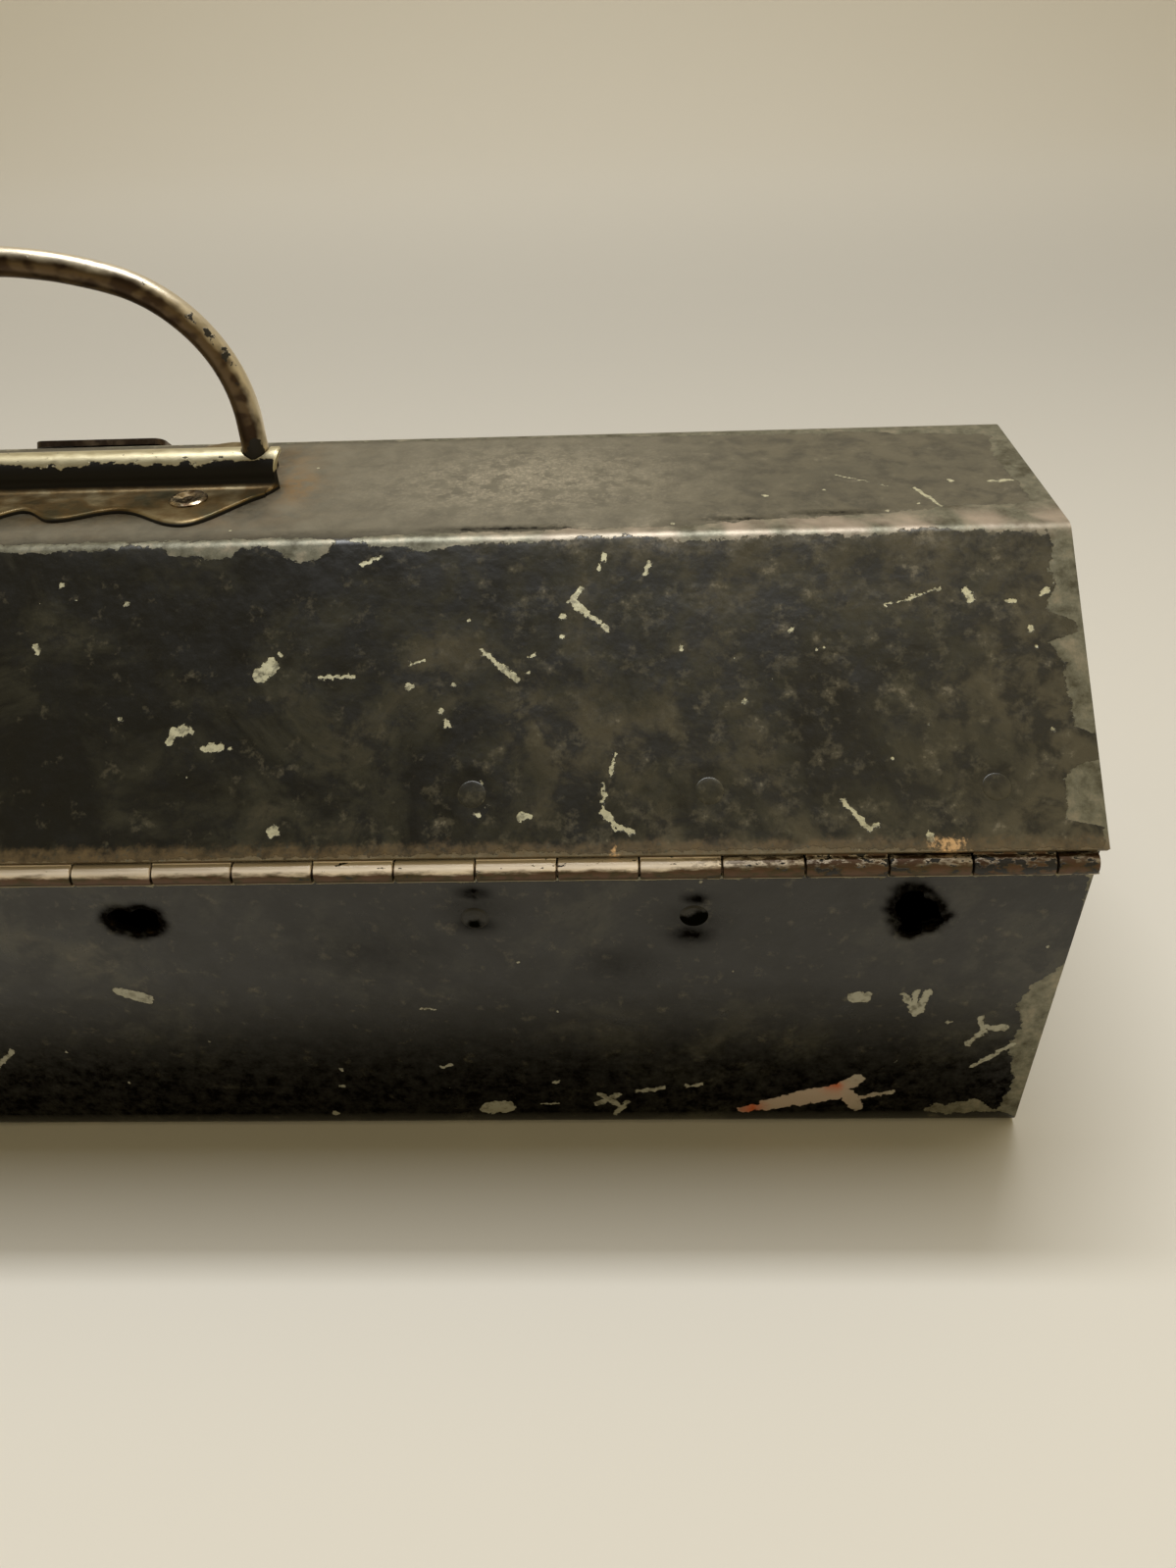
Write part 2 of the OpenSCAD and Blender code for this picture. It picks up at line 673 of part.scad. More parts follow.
// The staple: an eye that stands through the strap's slot, a shank and its peened end inside
module turn_staple() {
    out = -base_y - eye_y;
    inside = sheet + washer_t + rivet_room;
    color([0.45, 0.4, 0.33]) staple_axis() union() {
        translate([0, 0, -inside]) cylinder(r = shank_r, h = inside + out - eye_r + 0.6);
        translate([0, 0, -inside]) mirror([0, 0, 1]) dome(shank_r + 1, peen_h);
        translate([0, 0, out]) rotate([0, 90, 0]) difference() {
            cylinder(r = eye_r, h = eye_t, center = true);
            cylinder(r = eye_hole_r, h = eye_t + 1, center = true);
        }
    }
}

module staple_washer() {
    color([0.4, 0.37, 0.32]) staple_axis() translate([0, 0, -sheet - washer_t]) difference() {
        cylinder(r = washer_r, h = washer_t);
        translate([0, 0, -1]) cylinder(r = shank_r + rivet_room, h = washer_t + 2);
    }
}

base_wrap();
base_end_left();
base_end_right();
base_hinge_leaf();
hinge_pin();
base_hinge_rivets();
staple_keeper();
keeper_rivets();
turn_staple();
staple_washer();
lid_wrap();
lid_end_left();
lid_end_right();
lid_hinge_leaf();
lid_hinge_rivets();
handle_plate();
handle_rivets();
bail_handle();
hasp_leaf();
hasp_pin();
hasp_rivets();
hasp_strap();
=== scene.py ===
"""Looks of a worn, black-painted sheet-steel lunch box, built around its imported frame."""

import logging
from dataclasses import dataclass, field, replace
from enum import Enum
from math import radians
from typing import Callable, ClassVar

import bmesh
import bpy
import numpy as np
from mathutils import Matrix, Vector


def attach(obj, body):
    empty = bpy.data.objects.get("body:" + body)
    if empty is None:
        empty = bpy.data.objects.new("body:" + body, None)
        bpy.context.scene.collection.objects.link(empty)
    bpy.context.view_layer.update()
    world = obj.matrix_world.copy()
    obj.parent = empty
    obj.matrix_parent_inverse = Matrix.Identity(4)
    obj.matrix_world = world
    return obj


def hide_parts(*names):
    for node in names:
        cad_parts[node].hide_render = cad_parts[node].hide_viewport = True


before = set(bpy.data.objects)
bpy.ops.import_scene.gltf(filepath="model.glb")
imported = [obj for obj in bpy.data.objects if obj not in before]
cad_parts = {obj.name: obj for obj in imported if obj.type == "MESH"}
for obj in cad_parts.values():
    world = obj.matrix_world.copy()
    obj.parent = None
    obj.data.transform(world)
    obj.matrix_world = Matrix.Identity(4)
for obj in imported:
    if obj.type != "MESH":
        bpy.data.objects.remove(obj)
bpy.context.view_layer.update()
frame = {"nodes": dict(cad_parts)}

LOG = logging.getLogger("lunch_box")
MM = 0.001
Array = np.ndarray
Colour = tuple[float, float, float]
Point = tuple[float, float, float]
Line = tuple[tuple[float, float], ...]
Ball = tuple[Vector, float]


class Body(Enum):
    """The bodies that new pieces ride on."""

    BASE = "base"
    LID = "lid"
    BAIL = "bail"


class Slot(Enum):
    """Material slot names that are handed along with new pieces, though nothing uses them."""

    PAINT = "black_paint"
    RIVET = "painted_rivet"
    STEEL = "worn_steel"
    BRONZE = "bronzed_steel"
    WIRE = "wire_steel"


def tone(red: float, green: float, blue: float) -> Colour:
    """Turns a colour given from 0 to 255 on screen into linear light.

    Args:
        red: red part.
        green: green part.
        blue: blue part.

    Returns:
        The three linear parts.
    """
    parts = np.array([red, green, blue], float) / 255.0
    low, high = parts / 12.92, ((parts + 0.055) / 1.055) ** 2.4
    return tuple(float(v) for v in np.where(parts <= 0.04045, low, high))


def smooth(low: float, high: float, value: Array) -> Array:
    """Smooth step from 0 at low to 1 at high: 3t^2 - 2t^3 of the clipped share t."""
    share = np.clip((value - low) / (high - low), 0.0, 1.0)
    return share * share * (3.0 - 2.0 * share)


def follow(line: Line, at: Array) -> Array:
    """Reads off the values of a line that is given by its corners (where, value)."""
    where, value = np.array(line).T
    return np.interp(at, where, value)


def joined(*parts: Array) -> Array:
    """The greatest of several fields at each point."""
    return np.maximum.reduce(parts)


@dataclass(frozen=True)
class Blot:
    """A soft spot on a surface: share exp(-((x - a) / wide)^2 - ((y - b) / high)^2)."""

    a: float
    b: float
    wide: float
    high: float
    share: float = 1.0

    def at(self, x: Array, y: Array) -> Array:
        """The spot's strength at points of the surface."""
        away = ((x - self.a) / self.wide) ** 2 + ((y - self.b) / self.high) ** 2
        return self.share * np.exp(-away)


@dataclass(frozen=True)
class Ripple:
    """A smooth random field over a surface: a sum of plane waves with fixed random phases.

    The value is the sum of a_k sin(k_x x + k_y y + p_k), scaled to about plus and minus one.
    """

    seed: int
    longest: float
    shortest: float
    waves: int = 24

    def at(self, x: Array, y: Array) -> Array:
        """Value of the field at points of the surface.

        Args:
            x: first coordinates in millimetres.
            y: second coordinates in millimetres.

        Returns:
            The field's values.
        """
        draw = np.random.default_rng(self.seed)
        length = self.shortest * (self.longest / self.shortest) ** draw.random(self.waves)
        turn = draw.random(self.waves) * 2.0 * np.pi
        phase = draw.random(self.waves) * 2.0 * np.pi
        weight = length / length.max()
        total = np.zeros(np.broadcast(x, y).shape)
        for size, angle, start, part in zip(length, turn, phase, weight):
            wave = 2.0 * np.pi / size
            total += part * np.sin(wave * (x * np.cos(angle) + y * np.sin(angle)) + start)
        return total / np.sqrt(0.5 * (weight**2).sum()) / 2.0


class MeshMaker:
    """Turns arrays of points and faces into a finished mesh object."""

    @staticmethod
    def build(
        name: str,
        points: Array,
        faces: list[Array],
        values: dict[str, Array] | None = None,
        crease: float = 35.0,
        recalc: bool = True,
    ) -> bpy.types.Object:
        """Makes an object at the origin from points in millimetres.

        Args:
            name: name of the piece.
            points: array of points, one row each, in millimetres.
            faces: arrays of corner indices, one row for each face.
            values: named values to be kept at each point.
            crease: edges sharper than this many degrees stay sharp.
            recalc: whether faces are turned outwards afterwards.

        Returns:
            The new object.
        """
        mesh = bpy.data.meshes.new(name)
        rows = [row for part in faces for row in part.tolist()]
        mesh.from_pydata((points * MM).tolist(), [], rows)
        for key, data in (values or {}).items():
            layer = mesh.attributes.new(key, "FLOAT", "POINT")
            layer.data.foreach_set("value", np.asarray(data, np.float32))
        mesh.validate()
        if recalc:
            MeshMaker.face_outwards(mesh)
        mesh.polygons.foreach_set("use_smooth", np.ones(len(mesh.polygons), bool))
        mesh.set_sharp_from_angle(angle=radians(crease))
        mesh.update()
        piece = bpy.data.objects.new(name, mesh)
        bpy.context.scene.collection.objects.link(piece)
        return piece

    @staticmethod
    def face_outwards(mesh: bpy.types.Mesh) -> None:
        """Turns the faces of a closed mesh outwards.

        Args:
            mesh: the mesh to put right.
        """
        work = bmesh.new()
        work.from_mesh(mesh)
        bmesh.ops.recalc_face_normals(work, faces=work.faces)
        work.to_mesh(mesh)
        work.free()

    @staticmethod
    def grid_faces(rows: int, columns: int) -> Array:
        """Corner indices of the cells of a grid of points, stored row by row.

        Args:
            rows: number of rows of points.
            columns: number of points in a row.

        Returns:
            One row of four indices for each cell.
        """
        number = np.arange(rows * columns).reshape(rows, columns)
        a, b = number[:-1, :-1], number[1:, :-1]
        return np.stack([a, b, b + 1, a + 1], -1).reshape(-1, 4)

    @staticmethod
    def ring_faces(number: Array) -> Array:
        """Faces of closed rings: a grid of point numbers that joins up along its last two axes."""
        ahead, turned = np.roll(number, -1, -2), np.roll(number, -1, -1)
        return np.stack([number, turned, np.roll(ahead, -1, -1), ahead], -1).reshape(-1, 4)


def corner_mean(values: Array) -> Array:
    """Mean of a grid's values over the four corners of each cell."""
    return (values[1:, 1:] + values[1:, :-1] + values[:-1, 1:] + values[:-1, :-1]) / 4


def on_brink(keep: Array) -> Array:
    """Which points of a grid touch a kept cell and a cut one; outside, all counts as kept.

    Args:
        keep: which cells are kept.

    Returns:
        A flag for each point.
    """
    pad = np.pad(keep, 1, constant_values=True)
    around = pad[1:, 1:].astype(int) + pad[1:, :-1] + pad[:-1, 1:] + pad[:-1, :-1]
    return (around > 0) & (around < 4)


class Plate:
    """A sheet with thickness: an outer grid, an inner grid and walls wherever the sheet ends."""

    def __init__(self, outer: Array, inner: Array, keep: Array | None = None) -> None:
        """Takes the two grids.

        Args:
            outer: points of the outer face, rows by columns by three.
            inner: points of the inner face, in the same order.
            keep: which cells of the grid hold metal, or None for all.
        """
        self.outer, self.inner = outer, inner
        self.rows, self.columns = outer.shape[:2]
        whole = np.ones((self.rows - 1, self.columns - 1), bool)
        self.keep = whole if keep is None else keep

    def faces(self) -> list[Array]:
        """Cells of both faces, and a wall across each edge that has metal on one side only.

        Returns:
            Arrays of corner indices.
        """
        count = self.rows * self.columns
        cells = MeshMaker.grid_faces(self.rows, self.columns)
        cells = cells[self.keep.reshape(-1)]
        walls = []
        pad = np.pad(self.keep, 1)
        place = np.arange(count).reshape(self.rows, self.columns)
        for one, two, near, far in (
            (pad[:-1, 1:-1], pad[1:, 1:-1], place[:, :-1], place[:, 1:]),
            (pad[1:-1, :-1], pad[1:-1, 1:], place[:-1, :], place[1:, :]),
        ):
            open_edge = one != two
            a, b = near[open_edge], far[open_edge]
            walls.append(np.stack([a, b, b + count, a + count], -1))
        return [cells, cells[:, ::-1] + count, *walls]

    def build(self, name: str, values: dict[str, Array]) -> bpy.types.Object:
        """Makes the sheet's object, without the points that no face uses.

        Args:
            name: name of the piece.
            values: values at the outer grid's points, repeated on the inner face.

        Returns:
            The new object.
        """
        points, faces, used = self.parts()
        both = {k: np.concatenate([v.reshape(-1)] * 2)[used] for k, v in values.items()}
        return MeshMaker.build(name, points, faces, both)

    def parts(self) -> tuple[Array, list[Array], Array]:
        """Points that faces use, the faces, and which of all the points those are.

        Returns:
            The points, arrays of corner indices, and a flag for each of all the points.
        """
        points = np.concatenate([self.outer.reshape(-1, 3), self.inner.reshape(-1, 3)])
        faces = self.faces()
        used = np.zeros(len(points), bool)
        for part in faces:
            used[part.reshape(-1)] = True
        number = np.cumsum(used) - 1
        return points[used], [number[p] for p in faces], used


@dataclass(frozen=True)
class FoldedPath:
    """A path of straight runs with rounded corners, in the plane across the box.

    Places along the runs are a step apart, and finer between the two lengths of close.
    """

    corners: Line
    radius: float
    step: float
    close: tuple[float, float]
    arc_steps: int = 9
    fine: float = 0.55

    def sample(self) -> tuple[Array, Array, Array]:
        """Points, outward normals and lengths along the path.

        Each corner is replaced by the arc that touches both of its runs at radius tan(turn / 2)
        from the corner. The normal is the direction of travel turned a quarter to the right.

        Returns:
            Points (n by 2), normals (n by 2) and lengths measured along the sharp path (n).
        """
        corner = np.array(self.corners, float)
        run = np.diff(corner, axis=0)
        length = np.hypot(run[:, 0], run[:, 1])
        ahead = run / length[:, None]
        start = np.concatenate([[0.0], np.cumsum(length)])
        last = len(run) - 1
        low, parts = 0.0, []
        for i in range(len(run)):
            turn = self.turn(ahead[i], ahead[i + 1]) if i < last else 0.0
            high = length[i] - self.radius * np.tan(abs(turn) / 2)
            out = np.array([ahead[i, 1], -ahead[i, 0]])
            share = self.shares(start[i], low, high)
            line = corner[i] + share[:, None] * ahead[i]
            parts.append((line, np.tile(out, (len(share), 1)), start[i] + share))
            if i < last:
                low = length[i] - high
                centre = corner[i] + high * ahead[i] - out * self.radius
                parts.append(self.arc(centre, out, turn, start[i] + high, low))
        points, normals, along = (np.concatenate(part) for part in zip(*parts))
        return points, normals, along

    @staticmethod
    def turn(one: Array, two: Array) -> float:
        """The angle from one direction to the next."""
        return np.arctan2(one[0] * two[1] - one[1] * two[0], one @ two)

    def shares(self, start: float, low: float, high: float) -> Array:
        """Lengths along one run, from low to high, with finer ones where the path asks.

        Args:
            start: the path's length where the run starts.
            low: first length on the run.
            high: last length on the run.

        Returns:
            Increasing lengths.
        """
        share = np.linspace(low, high, max(2, int(np.ceil((high - low) / self.step)) + 1))
        a, b = (end - start for end in self.close)
        if b > a and low < a and b < high:
            near = np.linspace(a, b, int(np.ceil((b - a) / self.fine)) + 1)
            clear = (share < a - self.fine) | (share > b + self.fine)
            share = np.sort(np.concatenate([share[clear], near]))
        return share

    def arc(
        self, centre: Array, out: Array, turn: float, start: float, cut: float
    ) -> tuple[Array, Array, Array]:
        """The inner points of one rounded corner.

        Args:
            centre: the arc's centre.
            out: the normal where it starts.
            turn: how far it turns.
            start: the path's length where it starts.
            cut: how much of each run it takes the place of.

        Returns:
            Points, normals and lengths.
        """
        angle = np.linspace(0, turn, self.arc_steps + 1)[1:-1]
        cos, sin = np.cos(angle), np.sin(angle)
        around = np.stack([cos * out[0] - sin * out[1], sin * out[0] + cos * out[1]], -1)
        return centre + self.radius * around, around, start + (angle / turn) * 2 * cut


def spread(half: float, step: float, spots: tuple[float, ...], reach: float, fine: float) -> Array:
    """Places along the box, closer together near some spots.

    The number of places per millimetre is 1 / step, and 1 / fine within reach of a spot; the
    places are where its running sum passes each whole number.

    Args:
        half: half the length, in millimetres.
        step: usual spacing.
        spots: where the spacing is finer.
        reach: how far from a spot.
        fine: the finer spacing.

    Returns:
        Increasing places from -half to half.
    """
    x = np.linspace(-half, half, 20001)
    near = np.min([np.abs(x - spot) for spot in spots], axis=0) < reach
    rate = np.where(near, 1 / fine, 1 / step)
    total = np.concatenate([[0.0], np.cumsum((rate[1:] + rate[:-1]) / 2 * np.diff(x))])
    return np.interp(np.linspace(0, total[-1], int(round(total[-1])) + 1), total, x)


Socket = bpy.types.NodeSocket
Value = Socket | float | int | tuple


class Graph:
    """A short way to write a material's node tree."""

    def __init__(self, name: str, world: bpy.types.World | None = None) -> None:
        """Starts an empty tree on a new material, or on a world.

        Args:
            name: name of the material.
            world: the world that gets the tree, or None for a new material.
        """
        self.owner = world or bpy.data.materials.new(name)
        self.owner.use_nodes = True
        self.tree = self.owner.node_tree
        self.tree.nodes.clear()

    def add(
        self, kind: str, inputs: dict[str | int, Value | None] | None = None, **settings: object
    ) -> bpy.types.Node:
        """Adds a node.

        Args:
            kind: the node's type name, without "ShaderNode".
            inputs: what feeds its inputs, by their names or numbers; None leaves one as it is.
            settings: the node's property names and values.

        Returns:
            The new node.
        """
        node = self.tree.nodes.new(f"ShaderNode{kind}")
        for key, value in settings.items():
            setattr(node, key, value)
        for key, value in (inputs or {}).items():
            if value is not None:
                self.feed(node.inputs[key], value)
        return node

    def feed(self, socket: Socket, value: Value) -> None:
        """Links a socket, or sets the value that stands on it; a colour gets its alpha.

        Args:
            socket: a node's input.
            value: another node's output, or a plain value.
        """
        if isinstance(value, bpy.types.NodeSocket):
            self.tree.links.new(value, socket)
        else:
            socket.default_value = (*value, 1.0) if socket.type == "RGBA" else value

    def math(self, work: str, a: Value, b: Value = 0.0, clamp: bool = False) -> Socket:
        """The result of a Math node: work is its operation, a and b its inputs."""
        return self.add("Math", {0: a, 1: b}, operation=work, use_clamp=clamp).outputs[0]

    def plus(self, a: Value, b: Value, clamp: bool = False) -> Socket:
        """a + b."""
        return self.math("ADD", a, b, clamp)

    def minus(self, a: Value, b: Value) -> Socket:
        """a - b."""
        return self.math("SUBTRACT", a, b)

    def times(self, a: Value, b: Value, clamp: bool = False) -> Socket:
        """a b."""
        return self.math("MULTIPLY", a, b, clamp)

    def rest(self, a: Value, clamp: bool = False) -> Socket:
        """1 - a."""
        return self.math("SUBTRACT", 1.0, a, clamp)

    def most(self, a: Value, b: Value) -> Socket:
        """The greater of a and b."""
        return self.math("MAXIMUM", a, b)

    def least(self, a: Value, b: Value) -> Socket:
        """The lesser of a and b."""
        return self.math("MINIMUM", a, b)

    def swing(self, noise: Value, size: float) -> Socket:
        """A noise that swings about zero: (noise - 0.5) size."""
        return self.times(self.minus(noise, 0.5), size)

    def vector(self, work: str, a: Value, b: Value, c: Value | None = None) -> Socket:
        """The result of a Vector Math node: a number for a distance or a dot product."""
        node = self.add("VectorMath", {0: a, 3 if work == "SCALE" else 1: b, 2: c}, operation=work)
        return node.outputs["Value" if work in ("DISTANCE", "DOT_PRODUCT") else "Vector"]

    def place(self) -> Socket:
        """The point's place on the piece, in millimetres."""
        return self.vector("SCALE", self.add("TexCoord").outputs["Object"], 1.0 / MM)

    def split(self, vector: Socket) -> tuple[Socket, ...]:
        """The three parts of a vector."""
        return tuple(self.add("SeparateXYZ", {0: vector}).outputs)

    def noise(
        self, vector: Socket, size: float, detail: float, rough: float = 0.55, bend: float = 0.0
    ) -> Socket:
        """Noise from 0 to 1 whose patches are about size millimetres across.

        Args:
            vector: the point in millimetres.
            size: size of the patches.
            detail: how many finer layers are added.
            rough: each layer's strength, as a share of the one before.
            bend: how far the layers bend each other.

        Returns:
            The noise.
        """
        return self.add("TexNoise", {
            "Vector": vector, "Scale": 1.0 / size, "Detail": detail, "Roughness": rough,
            "Distortion": bend,
        }).outputs[0]

    def specks(
        self, place: Socket, size: float, few: float, gain: float, more: Value = 0.0,
        widest: float = 9.0,
    ) -> Socket:
        """How far a point lies inside the nearest of some scattered specks, in millimetres.

        Specks are discs about the points of a cell pattern. A disc's radius is the lesser of
        widest and gain (chance + more - few), where chance is random, so most have none.

        Args:
            place: the point in millimetres.
            size: about how far the cells are apart.
            few: the chance under which a cell has no speck.
            gain: how fast radii grow over that.
            more: added to the chance.
            widest: the greatest radius.

        Returns:
            The depth, below zero outside the specks.
        """
        cells = self.add("TexVoronoi", {"Vector": place, "Scale": 1.0 / size}, feature="F1")
        chance = self.plus(self.split(cells.outputs["Color"])[0], more)
        radius = self.least(self.times(self.minus(chance, few), gain), widest)
        return self.minus(radius, self.times(cells.outputs["Distance"], size))

    def balls(
        self, place: Socket, balls: tuple[Ball, ...], ragged: Value, edge: tuple[float, float],
        start: Value = 0.0,
    ) -> Socket:
        """1 inside ragged balls: a step of radius - distance + ragged, the greatest of all.

        Args:
            place: the point in millimetres.
            balls: centres and radii.
            ragged: what roughens their outlines.
            edge: the depths between which the step rises.
            start: a value that the result is never below.

        Returns:
            The share.
        """
        for centre, radius in balls:
            gap = self.vector("DISTANCE", place, tuple(centre))
            start = self.most(start, self.step(self.plus(self.minus(radius, gap), ragged), *edge))
        return start

    def attribute(self, name: str) -> Socket:
        """A value kept on the mesh."""
        return self.add("Attribute", attribute_name=name).outputs["Fac"]

    def step(
        self, value: Value, low: float, high: float, to: tuple[float, float] = (0.0, 1.0)
    ) -> Socket:
        """A smooth step of value from low to high, spread over the range to.

        Args:
            value: what steps.
            low: where the step starts.
            high: where it ends.
            to: the results at its start and its end.

        Returns:
            The stepped value.
        """
        return self.add("MapRange", {
            "Value": value, "From Min": low, "From Max": high, "To Min": to[0], "To Max": to[1],
        }, interpolation_type="SMOOTHSTEP").outputs[0]

    def ramp(self, value: Value, stops: list[tuple[float, Colour]]) -> Socket:
        """Colours spread along a value from 0 to 1.

        Args:
            value: the value.
            stops: places from 0 to 1 and their colours.

        Returns:
            The colour.
        """
        node = self.add("ValToRGB", {0: value})
        marks = node.color_ramp.elements
        while len(marks) < len(stops):
            marks.new(0.5)
        for mark, (where, colour) in zip(marks, stops):
            mark.position, mark.color = where, (*colour, 1.0)
        return node.outputs[0]

    def blend(self, share: Value, a: Value, b: Value) -> Socket:
        """Mixes colour a with colour b by a share."""
        return self.add("Mix", {0: share, 6: a, 7: b}, data_type="RGBA").outputs[2]

    def between(self, share: Value, a: Value, b: Value) -> Socket:
        """Mixes number a with number b by a share."""
        return self.add("Mix", {0: share, 2: a, 3: b}, data_type="FLOAT").outputs[0]

    def bump(self, height: Socket, deep: float, under: Socket | None = None) -> Socket:
        """Relief from a height of 0 to 1 that stands for deep millimetres.

        Args:
            height: the height.
            deep: what a height of 1 stands for.
            under: a bumped normal that this one adds to, or None.

        Returns:
            The bumped normal.
        """
        return self.add("Bump", {
            "Height": height, "Distance": deep * MM, "Strength": 1.0, "Normal": under,
        }).outputs[0]

    def paint_relief(self, place: Socket, grain: Socket, bare: Socket, lumps: float) -> Socket:
        """Relief of painted sheet: broad lumps, a fine grain, and the paint's own thickness.

        Args:
            place: the point in millimetres.
            grain: the fine noise.
            bare: the share of bare metal.
            lumps: height of the broad lumps in millimetres.

        Returns:
            The bumped normal.
        """
        relief = self.bump(self.noise(place, 9.0, 3.0), lumps)
        relief = self.bump(grain, GRAIN_DEEP, relief)
        return self.bump(self.rest(bare), PAINT_DEEP, relief)

    def surface(
        self,
        colour: Value,
        metal: Value,
        rough: Value,
        relief: Socket | None = None,
        ior: float = 1.5,
        gloss: Value | None = None,
    ) -> bpy.types.Material:
        """Ends the tree with a surface shader.

        Args:
            colour: base colour.
            metal: how metallic it is, from 0 to 1.
            rough: roughness.
            relief: the bumped normal, or None.
            ior: index of refraction of the clear or painted part.
            gloss: how strongly the painted part mirrors, 0.5 being usual, or None.

        Returns:
            The finished material.
        """
        shader = self.add("BsdfPrincipled", {
            "Base Color": colour, "Metallic": metal, "Roughness": rough, "IOR": ior,
            "Normal": relief, "Specular IOR Level": gloss,
        })
        self.add("OutputMaterial", {"Surface": shader.outputs[0]})
        return self.owner


Scar = tuple[float, ...]
Stroke = tuple[Vector, Vector, float]
CHIP = (-0.05, 0.07)
FRESH = (-0.06, 0.08)
PAINT_DEEP = 0.09
GRAIN_DEEP = 0.03


@dataclass(frozen=True)
class BoxShape:
    """Sizes of the box that several pieces share, in millimetres, as the frame has them."""

    half_length: float = 179.0
    lid_y: float = 65.0
    lid_z: float = 69.0
    top_y: float = 22.6
    top_z: float = 102.2
    sheet: float = 0.8
    base_y: float = 64.2
    base_x: float = 178.2
    base_h: float = 68.7
    hinge_y: float = 64.5
    hinge_z: float = 65.962
    barrel_r: float = 1.9
    back_top: float = 63.762
    bar_y: float = -2.5
    bar_z: float = 104.8
    lost_rivets: tuple[float, float] = (-25.5, -152.0)

    @property
    def slope(self) -> float:
        """Length of the lid's slope."""
        return float(np.hypot(self.lid_y - self.top_y, self.top_z - self.lid_z))

    @property
    def lean(self) -> float:
        """Angle of the lid's slope from the horizontal, in radians."""
        return float(np.arctan2(self.top_z - self.lid_z, self.lid_y - self.top_y))

    @property
    def over(self) -> float:
        """Length of the lid's section from rim to rim."""
        return 2 * self.slope + 2 * self.top_y

    @property
    def middle(self) -> float:
        """Length of the lid's section from the rear rim to the middle of the top."""
        return self.slope + self.top_y

    def on_slope(self, x: float, up: float) -> Point:
        """A point on the rear slope, up millimetres above the rim.

        Args:
            x: place along the box.
            up: distance from the rim, up the slope.

        Returns:
            The point.
        """
        share = up / self.slope
        y = self.lid_y + (self.top_y - self.lid_y) * share
        return x, y, self.lid_z + (self.top_z - self.lid_z) * share

    def on_top(self, x: float, y: float) -> Point:
        """A point on the flat top."""
        return x, y, self.top_z

    def on_wall(self, x: float, z: float) -> Point:
        """A point on the base's rear wall."""
        return x, self.base_y, z


SHAPE = BoxShape()


